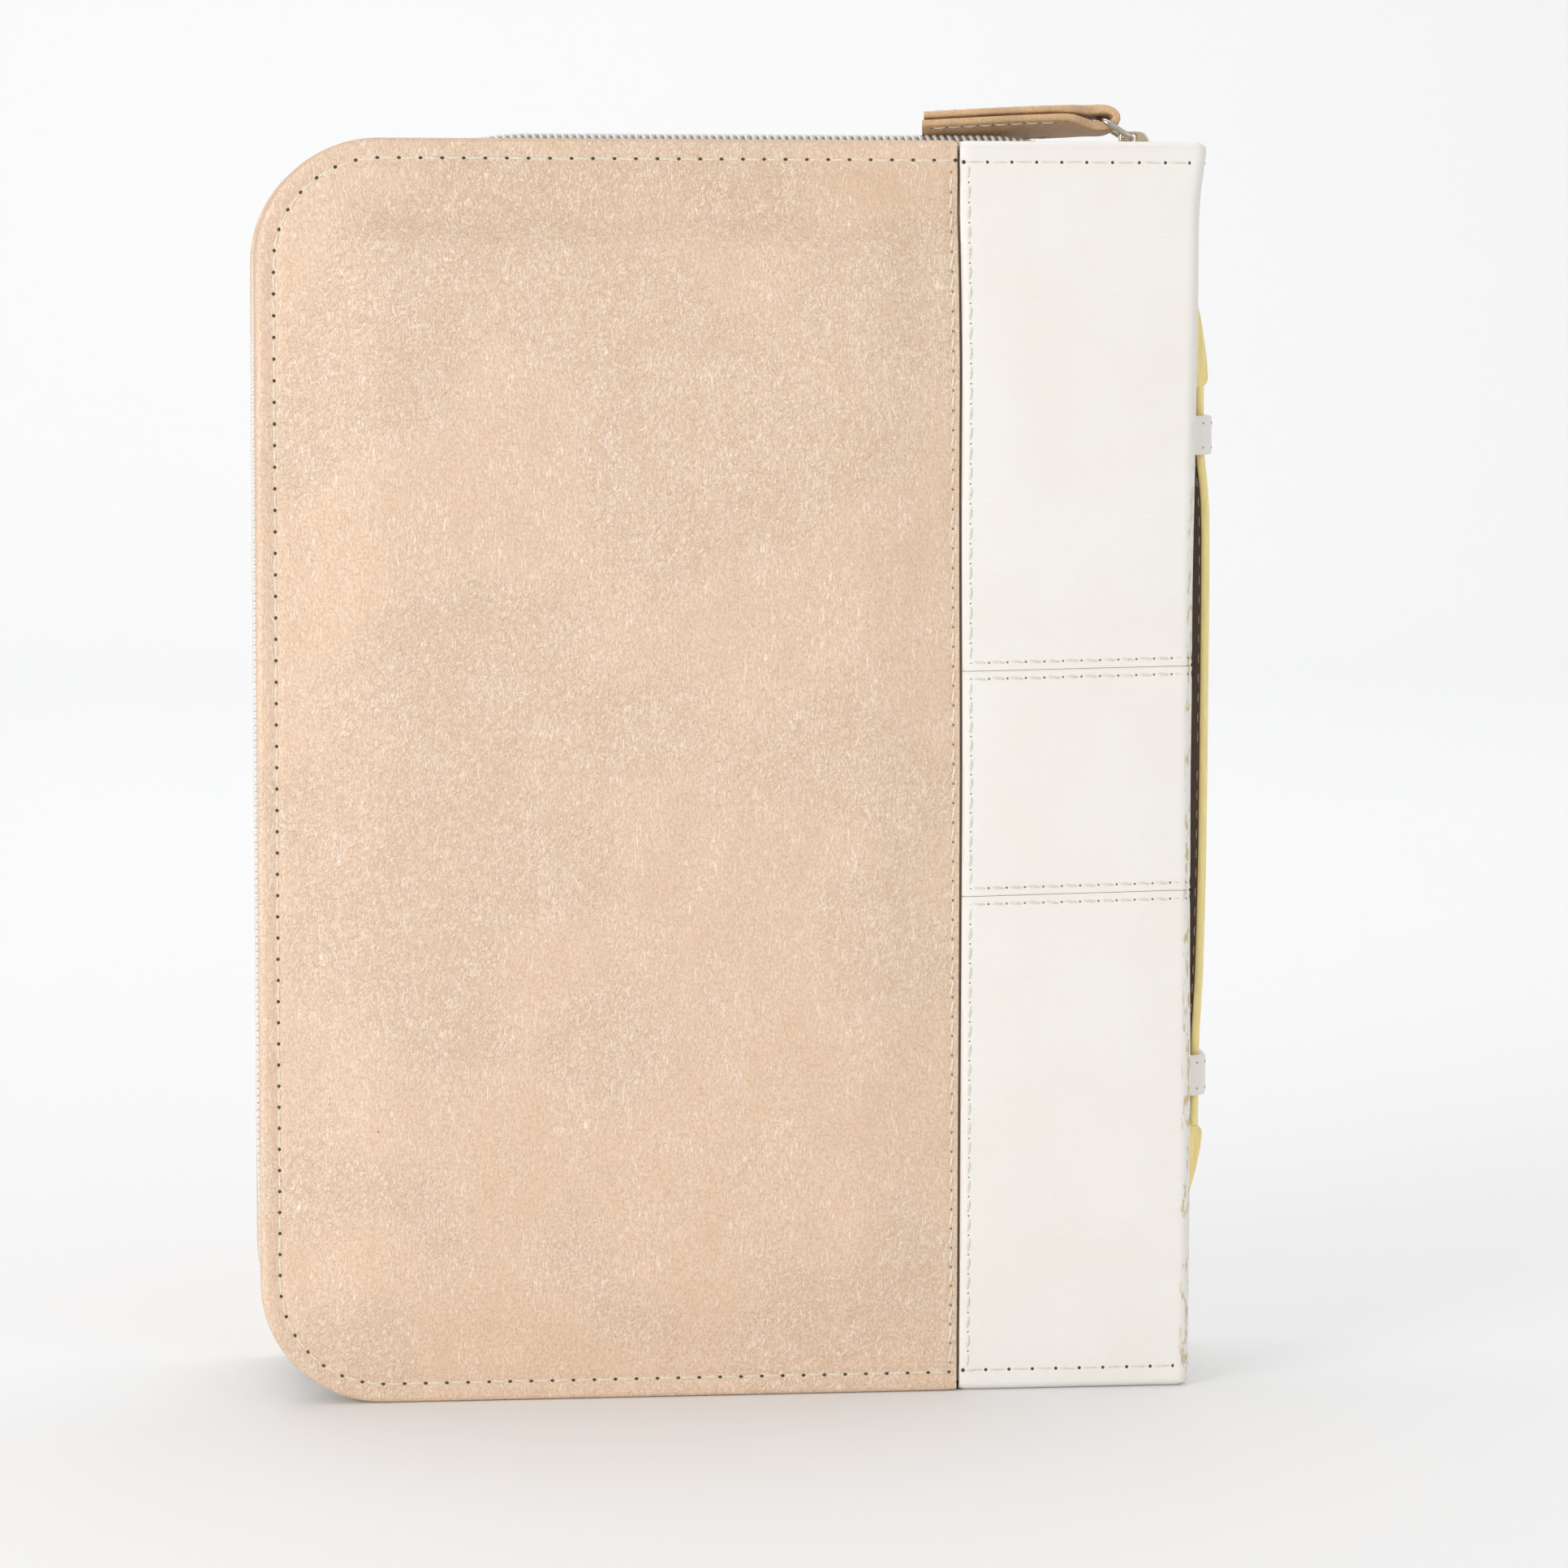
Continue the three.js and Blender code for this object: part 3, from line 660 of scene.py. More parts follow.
def paper_edges():
    """Stacked page edges: fine lines that run along the leaves, cream with painted shade in the gaps between
    them.
    """
    base = (0.80, 0.74, 0.62)
    material, tree, shader, where = start_finish("page edges", base, 0.85)
    ribs = use(tree, "ribs", where)
    ribs.inputs["Across"].default_value = (60.0, 6500.0, 60.0)
    wide = stretched_noise(tree, where, (25.0, 900.0, 25.0), 2.0)
    # the dark lines are painted shade in the gaps between the leaves; broad bands along the stack go darker
    # still
    lined = tint(tree, ramp(tree, ribs.outputs["Ribs"], 0.35, 0.6), shade(base, 0.62), shade(base, 1.04))
    tree.links.new(tint(tree, ramp(tree, wide, 0.38, 0.5, 0.35, 0.0), lined, (0.46, 0.38, 0.27)),
                   shader.inputs["Base Color"])
    raise_by(tree, shader, ribs.outputs["Ribs"], 0.6, 0.00012)
    return material


def endpaper_stock():
    """Laid endpaper with faint chain lines."""
    base = (0.78, 0.71, 0.60)
    material, tree, shader, where = start_finish("endpaper", base, 0.9)
    ribs = use(tree, "ribs", where)
    lines = ramp(tree, ribs.outputs["Ribs"], 0.4, 0.6)
    tree.links.new(tint(tree, lines, shade(base, 0.94), shade(base, 1.03)), shader.inputs["Base Color"])
    raise_by(tree, shader, ribs.outputs["Ribs"], 0.3, 0.00006)
    return material


def striped_band():
    """Headband: silk stripes, wine and cream, across the book's thickness."""
    material, tree, shader, where = start_finish("headband silk", (0.6, 0.5, 0.4), 0.6, sheen_weight=0.3)
    parts = node(tree, "ShaderNodeSeparateXYZ", [(0, where)])
    wave = math_node(tree, "SINE", times(tree, parts.outputs[1], value=5200.0))
    tree.links.new(tint(tree, ramp(tree, wave, -0.2, 0.2), (0.36, 0.06, 0.06), (0.80, 0.74, 0.62)),
                   shader.inputs["Base Color"])
    raise_by(tree, shader, wave, 0.6, 0.0002)
    return material


def board_stock(name="grey board", base=(0.22, 0.18, 0.14)):
    """Pressed board or foam with a fibrous surface; on the foam its dark colour is painted shade for the
    narrow gaps between the leather pieces.
    """
    material, tree, shader, where = start_finish(name, base, 0.95)
    fibre = stretched_noise(tree, where, (700.0, 700.0, 700.0), 4.0)
    tree.links.new(tint(tree, fibre, shade(base, 0.7), shade(base, 1.25)), shader.inputs["Base Color"])
    raise_by(tree, shader, fibre, 0.4, 0.0002)
    return material


def floor_card():
    """Matt white sweep, with the faintest mottling."""
    base = tuple(colours().floor)
    material, tree, shader, where = start_finish("white sweep", base, 0.9, specular_ior_level=0.1)
    cloud = stretched_noise(tree, where, (2.0, 2.0, 2.0))
    tree.links.new(tint(tree, cloud, shade(base, 0.992), shade(base, 1.005)), shader.inputs["Base Color"])
    return material


FINISH_MAKERS = {
    "rose": rose_leather, "cream": cream_leather, "tab": tab_leather, "tab edge": tab_edge,
    "strap lining and shade": strap_lining_and_shade, "edge": edge_paint,
    "lining": lining_cloth, "tape": zip_tape_cloth, "book cloth": book_cloth,
    "thread": thread, "pale thread": pale_thread, "hole": needle_hole, "small hole": small_hole,
    "nylon": nylon, "gold": pale_gold, "nickel": nickel,
    "pages": paper_edges, "endpaper": endpaper_stock, "band": striped_band, "board": board_stock,
    "binding": binding_glue, "floor": floor_card,
}


# ---------------------------------------------------------------- the leather skins


def edge_distance(x, z, x0=X_FORE, z1=HEIGHT, radius=CORNER):
    """Distance inwards from a panel's outline, which has round corners of this radius on the fore-edge."""
    cz = np.where(z > z1 / 2, z1 - radius, radius)
    in_corner = (x < x0 + radius) & (np.abs(z - z1 / 2) > z1 / 2 - radius)
    round_part = radius - np.hypot(x - (x0 + radius), z - cz)
    straight = np.minimum(x - x0, np.minimum(z, z1 - z))
    return np.where(in_corner, round_part, straight)


def joint_shift(z):
    """How far nearer the fore-edge than in the CAD the colour joint is sewn: most at the top."""
    return MM * (1.15 + 0.45 * smooth((z - 120 * MM) / (70 * MM)) + 0.75 * smooth((z - 205 * MM) / (50 * MM)))


def roll_over(d, r):
    """Quarter circle of radius r: 0 from r inwards, down to -r at the edge."""
    k = np.clip(1.0 - d / r, 0.0, 1.0)
    return r * (np.sqrt(1.0 - k * k) - 1.0)


def rose_rise(x, z):
    """How far the rose panel stands off the cover's face.
    Rolled edges, a stitch groove, then a foam crown that rises from every side, with a slack band near
    the top."""
    sizes = bpy.context.scene.prayer_book_sizes
    d = edge_distance(x, z)
    ds = X_SEAM - joint_shift(z) - x
    crown = smooth((d - 3.0 * MM) / (25 * MM)) * smooth((ds + 1 * MM) / (22 * MM))
    top = HEIGHT - z
    reach = smooth((x - X_FORE - 14 * MM) / (22 * MM)) * (0.5 + 0.5 * smooth(ds / (30 * MM)))
    slack = reach * (1.35 * bump((top - 15.0 * MM) / (4.6 * MM)) - 0.5 * bump((top - 7.4 * MM) / (2.4 * MM)))
    low = bump((z - 12 * MM) / (5 * MM)) * smooth((x - X_FORE - 60 * MM) / (60 * MM))
    wave = 0.10 * np.sin(x * 61 + 1.3) * np.sin(z * 43 + 0.4) + 0.06 * np.sin(x * 133 - z * 87)
    groove = 0.30 * bump((d - STITCH_IN) / (0.8 * MM)) + 0.22 * bump((ds - 1.4 * MM) / (0.7 * MM))
    rise = sizes.crown * crown - MM * (slack + 0.30 * low - wave * crown + groove)
    return rise + roll_over(d, 1.3 * MM) + roll_over(ds, 0.6 * MM)


def skin(name, points, outward, rim, material, spread=(1.0, 1.0, 1.0, 1.0), back_depth=4.6 * MM, sharp=60,
         front=0.0):
    """A closed padded skin from its outer grid.
    Round the grid's edge, rings step out by a and down by b for each (a, b) of rim; a flat back closes it.
    spread scales a on the first column, last column, first row and last row; front is the share of painted
    shade on the turned edge over the grid."""
    rows, cols = points.shape[:2]
    index = np.arange(rows * cols).reshape(rows, cols)
    loop = np.concatenate([index[0, :-1], index[:-1, -1], index[-1, :0:-1], index[:0:-1, 0]])
    flat, normals = points.reshape(-1, 3), outward.reshape(-1, 3)
    edge, up = flat[loop], normals[loop]
    turn = unit(np.roll(edge, -1, 0) - np.roll(edge, 1, 0))
    out = unit(np.cross(turn, up))
    probe = cols // 2
    if np.dot(out[probe], edge[probe] - flat[index[rows // 2, cols // 2]]) < 0:
        out = -out
    scale = np.ones(len(loop))
    for part, factor in zip((index[:, 0], index[:, -1], index[0], index[-1]), spread):
        scale = np.where(np.isin(loop, part), np.minimum(scale, factor), scale)
    out = out * scale[:, None]
    if spread[1] == 0.0:
        for corner, factor, z in ((index[0, -1], spread[2], -1.0), (index[-1, -1], spread[3], 1.0)):
            out[loop == corner] = (0.0, 0.0, z * factor)
    rings = [edge + out * a - up * b for a, b in rim]
    inner = flat - normals * back_depth
    count = len(loop)
    verts = np.concatenate([flat] + rings + [inner])
    faces = [quads(rows, cols)]
    starts = [loop] + [rows * cols + k * count + np.arange(count) for k in range(len(rim))]
    starts.append(rows * cols + len(rim) * count + loop)
    for first, second in zip(starts[:-1], starts[1:]):
        faces.append(np.stack([first, np.roll(first, -1), np.roll(second, -1), second], -1))
    faces.append(quads(rows, cols, start=rows * cols + len(rim) * count))
    # painted shade on the turned edge: front over the grid, a share on each rim ring, stronger towards the
    # top
    turned = np.zeros(len(verts))
    turned[: rows * cols] = np.ravel(front)
    for k, share in enumerate((0.75, 1.0, 0.45)):
        turned[rows * cols + k * count: rows * cols + (k + 1) * count] = share * (
            0.35 + 0.65 * smooth((edge[:, 2] - 0.5 * HEIGHT) / (0.4 * HEIGHT)))
    return piece(name, verts, np.concatenate(faces), material, fill=False, sharp=sharp, turned=turned)


def corner_rows(low, high, radius, straight, arc):
    """Heights from low to high, close together round both corners: radius(1 - cos) there, even between."""
    a = np.linspace(0, np.pi / 2, arc + 1)
    bottom = low + radius * (1 - np.cos(a))
    middle = np.linspace(low + radius, high - radius, straight + 2)[1:-1]
    return np.concatenate([bottom, middle, (low + high - bottom)[::-1]])


def rose_panel(tag, side):
    """The padded rose panel: rows from bottom to top, each from the outline's own left end to the seam."""
    inset = 0.4 * MM
    z = corner_rows(inset, HEIGHT - inset, CORNER - inset, 96, 26)
    x0, x1 = X_FORE + inset, (X_SEAM - 0.15 * MM - joint_shift(z))[:, None]
    r = CORNER - inset
    dz = np.maximum(0.0, np.maximum(inset + r - z, z - (HEIGHT - inset - r)))
    left = x0 + r - np.sqrt(np.maximum(r * r - dz * dz, 0.0))
    u = np.linspace(0, 1, 121)
    u = 0.5 * u + 0.5 * smooth(u)
    x = left[:, None] + (x1 - left[:, None]) * u[None]
    zz = np.broadcast_to(z[:, None], x.shape)
    out = np.zeros(x.shape + (3,))
    out[..., 1] = side
    points = np.stack([x, side * (COVER_FACE + rose_rise(x, zz)), zz], -1)
    rim = [(0.26 * MM, 0.45 * MM), (0.38 * MM, 1.2 * MM), (0.38 * MM, 3.4 * MM), (0.2 * MM, 4.5 * MM),
           (-0.6 * MM, 4.95 * MM), (-2.2 * MM, 5.0 * MM), (-2.6 * MM, 4.6 * MM)]
    # painted shade near the rolled rim, only on the upper half of the panel
    painted_rim_shade = smooth(1.2 - edge_distance(x, zz) / (0.7 * MM)) * smooth((zz - 0.5 * HEIGHT) / (0.4 * HEIGHT))
    obj = skin(f"{tag}_rose_panel_padded", points, out, rim, finish("rose"), (1, 0.12, 1, 1), 3.8 * MM,
               front=0.9 * painted_rim_shade)
    placed(obj, f"{tag}_cover")
    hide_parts(f"{tag}_rose_panel")
    return obj


WRAP_R = 2.6 * MM


def wrap_path(side, count=70):
    """The cream leather's way in plan: along the cover, round the spine's corner, to the spine's middle.
    Returns points, outward directions and the length run, as arrays."""
    x_arc, y_arc = X_SPINE - WRAP_R, COVER_FACE - WRAP_R
    flat = x_arc - X_WRAP
    arc = WRAP_R * np.pi / 2
    total = flat + arc + y_arc
    s = np.concatenate([np.linspace(0, flat - 6 * MM, count // 2, endpoint=False),
                        np.linspace(flat - 6 * MM, flat + arc + 3 * MM, 26, endpoint=False),
                        np.linspace(flat + arc + 3 * MM, total, count // 4)])
    angle = np.clip((s - flat) / WRAP_R, 0, np.pi / 2)
    x = np.where(s < flat, X_WRAP + s, x_arc + WRAP_R * np.sin(angle))
    y = np.where(s < flat, COVER_FACE, y_arc + WRAP_R * np.cos(angle))
    y = np.where(s > flat + arc, y_arc - (s - flat - arc), y)
    out = np.stack([np.sin(angle), side * np.cos(angle), 0 * s], -1)
    return np.stack([x, side * y, 0 * s], -1), out, s


def spine_lean(x, z):
    """The spine leans out a little towards its top and its foot, and flares at the very top."""
    reach = smooth((x - (X_SPINE - 22 * MM)) / (20 * MM))
    return reach * MM * (0.6 * smooth((z - 150 * MM) / (80 * MM)) + 0.6 * smooth((130 * MM - z) / (90 * MM))
                         + 1.5 * bump((HEIGHT - z) / (9 * MM)))


def joint_pull(x, z):
    """The joint's shift on the cream leather: all of it at the joint, fading out before the fold."""
    end = X_FOLD - 4 * MM
    return joint_shift(z) * smooth((end - x) / (end - X_WRAP))


def seam_height(base, x):
    """Height of a cross seam, which climbs a little towards the spine and stays level round it."""
    return base + SEAM_SLOPE * (np.minimum(x, X_FOLD) - X_WRAP)


SEAMS = (CREAM_MIDDLE[0][2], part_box("back_cream_upper")[0][2])


def wrap_rise(s, low, high, z, x, bottom, top):
    """How far the cream leather stands off its path: rolled edges, stitch grooves, a slight soft crown."""
    near_low, near_high = z - low, high - z
    end = np.minimum(near_low, near_high)
    rise = roll_over(s, 0.6 * MM)
    rise = rise + roll_over(near_low, (1.2 if bottom else 0.25) * MM)
    rise = rise + roll_over(near_high, (1.2 if top else 0.25) * MM)
    crown = 0.35 * smooth(end / (14 * MM)) * smooth(s / (12 * MM)) * smooth((X_SPINE - x) / (14 * MM))
    groove = 0.16 * bump((s - 1.6 * MM) / (0.7 * MM))
    for gap, real_edge in ((near_low, bottom), (near_high, top)):
        groove = groove + 0.16 * bump((gap - (STITCH_IN if real_edge else 1.6 * MM)) / (0.7 * MM))
    ripple = 0.05 * np.sin(x * 190 + z * 40) * np.sin(z * 120)
    return rise + MM * (crown - groove + ripple)


SEAM_GAP = 0.05 * MM
CREAM_ROWS = ("lower", "middle", "upper")


def cream_limits(x):
    """The four heights between the three cream pieces, at each x."""
    return (0 * x + 0.35 * MM, seam_height(SEAMS[0], x), seam_height(SEAMS[1], x), 0 * x + HEIGHT - 0.35 * MM)


def cream_point(row, s_points, out, s, v):
    """Outer surface of one cream piece: v runs from its lower to its upper edge."""
    limits = cream_limits(s_points[:, 0])
    low = limits[row] + (SEAM_GAP if row else 0)
    high = limits[row + 1] - (SEAM_GAP if row < 2 else 0)
    z = low[None] + (high - low)[None] * v[:, None]
    x = np.broadcast_to(s_points[:, 0], z.shape)
    rise = wrap_rise(s[None], low[None], high[None], z, x, row == 0, row == 2)
    points = np.stack([x, np.broadcast_to(s_points[:, 1], z.shape), z], -1) + rise[..., None] * out[None]
    points[..., 0] += spine_lean(x, z) - joint_pull(x, z)
    return points


def cream_wrap(tag, side):
    """Three cream pieces from the colour joint round to the spine's middle."""
    path, out, s = wrap_path(side)
    made = []
    rim = [(0.25 * MM, 0.4 * MM), (0.3 * MM, 1.0 * MM), (0.2 * MM, 1.8 * MM)]
    for row, word in enumerate(CREAM_ROWS):
        v = np.linspace(0, 1, 60)
        v = 0.35 * v + 0.65 * smooth(v)
        points = cream_point(row, path, out, s, v)
        normals = np.broadcast_to(out[None], points.shape)
        spread = (0.12, 0.0, 1.0 if row == 0 else 0.12, 1.0 if row == 2 else 0.12)
        obj = skin(f"{tag}_cream_{word}_wrap", points, normals, rim, finish("cream"), spread, 1.8 * MM)
        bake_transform(obj)
        made.append(obj)
        nodes = [f"{tag}_cream_{word}"] + ([f"spine_skin_{word}"] if tag == "back" else [])
        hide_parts(*nodes)
    return made


# ---------------------------------------------------------------- stitches


def stitch_shapes(holes, outward, span_ratio=0.86, radius=0.26 * MM, lift=0.10 * MM, slant=0.0,
                  hole_radius=0.34 * MM, wobble=0.0, seed=1):
    """Thread between holes, as flattened arches, and a dimple at each hole, painted dark as the hole's shade.
    The thread's height is lift x sqrt(sin) along the stitch; its ends dip into the holes."""
    a, b = holes[:-1], holes[1:]
    up = unit(outward[:-1] + outward[1:])
    along = unit(b - a)
    side = np.cross(along, up)
    random = np.random.default_rng(seed)
    drift = random.normal(0, 1, (len(a), 2)) * wobble
    t = np.linspace(0, 1, 9)
    f = 0.5 + (t - 0.5) * span_ratio
    arch = np.sqrt(np.sin(np.pi * np.clip(t, 0.0, 1.0)))
    thin = 0.35 + 0.65 * arch
    angle = np.linspace(0, 2 * np.pi, 6, endpoint=False)
    centre = a[:, None] + (b - a)[:, None] * f[None, :, None]
    centre = centre + up[:, None] * (lift * arch - 0.18 * MM * (1 - arch))[None, :, None]
    lean = (slant * (t - 0.5))[None] + drift[:, :1] * (1 - t)[None] + drift[:, 1:] * t[None]
    centre = centre + side[:, None] * lean[..., None]
    ring = (side[:, None, None] * np.cos(angle)[None, None, :, None]
            + up[:, None, None] * (0.75 * np.sin(angle))[None, None, :, None])
    verts = centre[:, :, None] + ring * (radius * thin)[None, :, None, None]
    per = len(t) * len(angle)
    base = quads(len(t), len(angle), wrap_cols=True)
    faces = (base[None] + (np.arange(len(a)) * per)[:, None, None]).reshape(-1, 4)
    # the dimples: low domes turned to the surface, whose dark finish is painted shade in the holes
    rings_n, sides_n = 3, 7
    lat = np.linspace(0.05, np.pi / 2, rings_n)
    lon = np.linspace(0, 2 * np.pi, sides_n, endpoint=False)
    along_h = unit(np.gradient(holes, axis=0))
    side_h = np.cross(along_h, outward)
    disc = (along_h[:, None, None] * (np.sin(lat)[:, None] * np.cos(lon))[None, ..., None]
            + side_h[:, None, None] * (np.sin(lat)[:, None] * np.sin(lon))[None, ..., None]
            + outward[:, None, None] * (0.25 * np.cos(lat)[:, None] + 0 * lon)[None, ..., None])
    dimple = holes[:, None, None] + disc * hole_radius + outward[:, None, None] * 0.03 * MM
    cap = quads(rings_n, sides_n, wrap_cols=True)
    start = len(verts.reshape(-1, 3))
    offsets = start + np.arange(len(holes)) * rings_n * sides_n
    hole_faces = (cap[None] + offsets[:, None, None]).reshape(-1, 4)
    return verts.reshape(-1, 3), faces, dimple.reshape(-1, 3), hole_faces


def sewn(name, rows, hole="hole", yarn="thread", **style):
    """One object of many stitch rows, each (holes, outward). Thread and holes keep their own finishes."""
    all_verts, all_faces, slots, offset = [], [], [], 0
    for number, (holes, outward) in enumerate(rows):
        v, f, hv, hf = stitch_shapes(holes, outward, seed=number + 3, **style)
        all_verts += [v, hv]
        all_faces += [f + offset, hf + offset]
        slots += [np.zeros(len(f), int), np.ones(len(hf), int)]
        offset += len(v) + len(hv)
    obj = piece(name, np.concatenate(all_verts), np.concatenate(all_faces), [finish(yarn), finish(hole)],
                slots=np.concatenate(slots), weld=False, sharp=60)
    return obj


def on_rose(side, xz):
    """Points on the rose panel's surface and the outward directions there, by finite differences."""
    e = 0.2 * MM
    x, z = xz[:, 0], xz[:, 1]
    h = rose_rise(x, z)
    dx = (rose_rise(x + e, z) - rose_rise(x - e, z)) / (2 * e)
    dz = (rose_rise(x, z + e) - rose_rise(x, z - e)) / (2 * e)
    points = np.stack([x, side * (COVER_FACE + h), z], -1)
    return points, unit(np.stack([-dx, side + 0 * x, -dz], -1))


def rose_outline(inset):
    """The stitch line: along the top, round the fore-edge, back along the bottom, inset from the outline."""
    x0, r = X_FORE + inset, CORNER - inset
    end = X_SEAM - 0.5 * MM
    a = np.linspace(np.pi / 2, np.pi, 30)
    end = end - float(joint_shift(HEIGHT))
    top = np.stack([np.linspace(end, x0 + r, 200), np.full(200, HEIGHT - inset)], -1)
    first = np.stack([x0 + r + r * np.cos(a), HEIGHT - inset - r + r * np.sin(a)], -1)
    left = np.stack([np.full(200, x0), np.linspace(HEIGHT - inset - r, inset + r, 200)], -1)
    second = np.stack([first[::-1, 0], HEIGHT - first[::-1, 1]], -1)
    bottom = np.stack([top[::-1, 0], np.full(200, inset)], -1)
    return np.concatenate([top, first[1:], left[1:], second[1:], bottom[1:]])


def rose_stitches(tag, side):
    """The perimeter row and the upright row by the colour joint."""
    sizes = bpy.context.scene.prayer_book_sizes
    around, _ = spaced(rose_outline(STITCH_IN), sizes.stitch)
    level = np.linspace(HEIGHT - 6.4 * MM, 6 * MM, 300)
    upright = np.stack([X_SEAM - 1.45 * MM - joint_shift(level), level], -1)
    beside, _ = spaced(upright, 4.0 * MM)
    outer = sewn(f"{tag}_rose_perimeter_stitches", [on_rose(side, around)], radius=0.22 * MM,
                 hole_radius=0.42 * MM, wobble=0.05 * MM)
    inner = sewn(f"{tag}_rose_joint_stitches", [on_rose(side, beside)], "small hole", slant=0.5 * MM,
                 radius=0.25 * MM, span_ratio=0.8, lift=0.16 * MM, hole_radius=0.3 * MM, wobble=0.04 * MM)
    for obj in (outer, inner):
        placed(obj, f"{tag}_cover")
    return outer, inner


def on_cream(side, row, s_values, v_values):
    """Points and outward directions on a cream piece at these run lengths and heights (0 to 1)."""
    path, out, s = wrap_path(side, 140)
    at = np.stack([np.interp(s_values, s, path[:, k]) for k in range(3)], -1)
    normal = unit(np.stack([np.interp(s_values, s, out[:, k]) for k in range(3)], -1))
    limits = cream_limits(at[:, 0])
    low = limits[row] + (SEAM_GAP if row else 0)
    high = limits[row + 1] - (SEAM_GAP if row < 2 else 0)
    z = low + (high - low) * v_values
    rise = wrap_rise(s_values, low, high, z, at[:, 0], row == 0, row == 2)
    points = np.stack([at[:, 0], at[:, 1], z], -1) + rise[:, None] * normal
    points[:, 0] += spine_lean(at[:, 0], z) - joint_pull(at[:, 0], z)
    return points, normal


def cream_stitches(tag, side):
    """Rows on the three cream pieces: top and bottom, either side of both cross seams, and the upright row.
    The outer rows start nearer the joint and show their holes more."""
    total = wrap_path(side)[2][-1]
    rows, edge_rows = [], []
    for row in range(len(CREAM_ROWS)):
        run = np.linspace(1.7 * MM, total - 0.4 * MM, 500)
        ends = cream_limits(np.array([X_WRAP, X_FOLD]))
        size = float((ends[row + 1] - ends[row])[0])
        lower = (STITCH_IN if row == 0 else 1.6 * MM) / size
        upper = 1 - (STITCH_IN if row == 2 else 1.6 * MM) / size
        for v, at_edge in ((lower, row == 0), (upper, row == 2)):
            along = run - 1.3 * MM * (run < 8 * MM) * (1 - run / (8 * MM)) if at_edge else run
            where, _ = spaced(along[:, None], (4.6 if at_edge else 3.7) * MM)
            (edge_rows if at_edge else rows).append(on_cream(side, row, where[:, 0], np.full(len(where), v)))
        heights, _ = spaced(np.linspace(lower, upper, 300)[:, None] * size, 4.0 * MM)
        rows.append(on_cream(side, row, np.full(len(heights), 1.65 * MM), heights[:, 0] / size))
    obj = sewn(f"{tag}_cream_stitches", rows, "small hole", "pale thread", slant=0.35 * MM, span_ratio=0.8,
               lift=0.14 * MM, radius=0.25 * MM, hole_radius=0.27 * MM, wobble=0.04 * MM)
    edge = sewn(f"{tag}_cream_edge_stitches", edge_rows, "hole", "pale thread", radius=0.22 * MM,
                hole_radius=0.42 * MM, wobble=0.05 * MM)
    for made in (obj, edge):
        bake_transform(made)
    return obj


# ---------------------------------------------------------------- the zip


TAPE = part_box("back_zip_tape")
ZIP_END = TAPE[1][0]
TAPE_TOP = TAPE[1][2] - 0.3 * MM
COIL_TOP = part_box("back_zip_coil")[1][2] - 1.05 * MM


def top_lift(x):
    """Share of the zip's bow at x: none at the corner and at the slider, all of it between them."""
    return smooth((x - X_FORE - 30 * MM) / (26 * MM)) * smooth((X_WRAP + 32 * MM - x) / (26 * MM))


def zip_line(inset, low, high, radius, bow=0.0, push=0.0):
    """The zip's way in the middle plane, (x, z): from the spine along the top, round the fore-edge, and back.
    bow lifts the top run by bow x top_lift and push moves the fore-edge run out, faded with smooth()."""
    x0 = X_FORE + inset
    a = np.linspace(np.pi / 2, np.pi, 40)
    top = np.stack([np.linspace(ZIP_END, x0 + radius, 300), np.full(300, high)], -1)
    first = np.stack([x0 + radius * (1 + np.cos(a)), high - radius * (1 - np.sin(a))], -1)
    left = np.stack([np.full(300, x0), np.linspace(high - radius, low + radius, 300)], -1)
    second = np.stack([x0 + radius * (1 + np.cos(a[::-1])), low + radius * (1 - np.sin(a[::-1]))], -1)
    bottom = np.stack([top[::-1, 0], np.full(300, low)], -1)
    line = np.concatenate([top, first[1:], left[1:], second[1:], bottom[1:]])
    line[:, 1] += bow * top_lift(line[:, 0]) * (line[:, 1] > HEIGHT / 2)
    side = smooth((line[:, 1] - 25 * MM) / (30 * MM)) * smooth((HEIGHT - 22 * MM - line[:, 1]) / (30 * MM))
    line[:, 0] -= push * side * (line[:, 0] < x0 + 2 * MM)
    return line


def outwards(line):
    """Unit tangents of a line in the x-z plane and the unit normals away from the book, as 3-D arrays."""
    t = tangents(line)
    along = np.stack([t[:, 0], 0 * t[:, 0], t[:, 1]], -1)
    return along, np.stack([t[:, 1], 0 * t[:, 0], -t[:, 0]], -1)


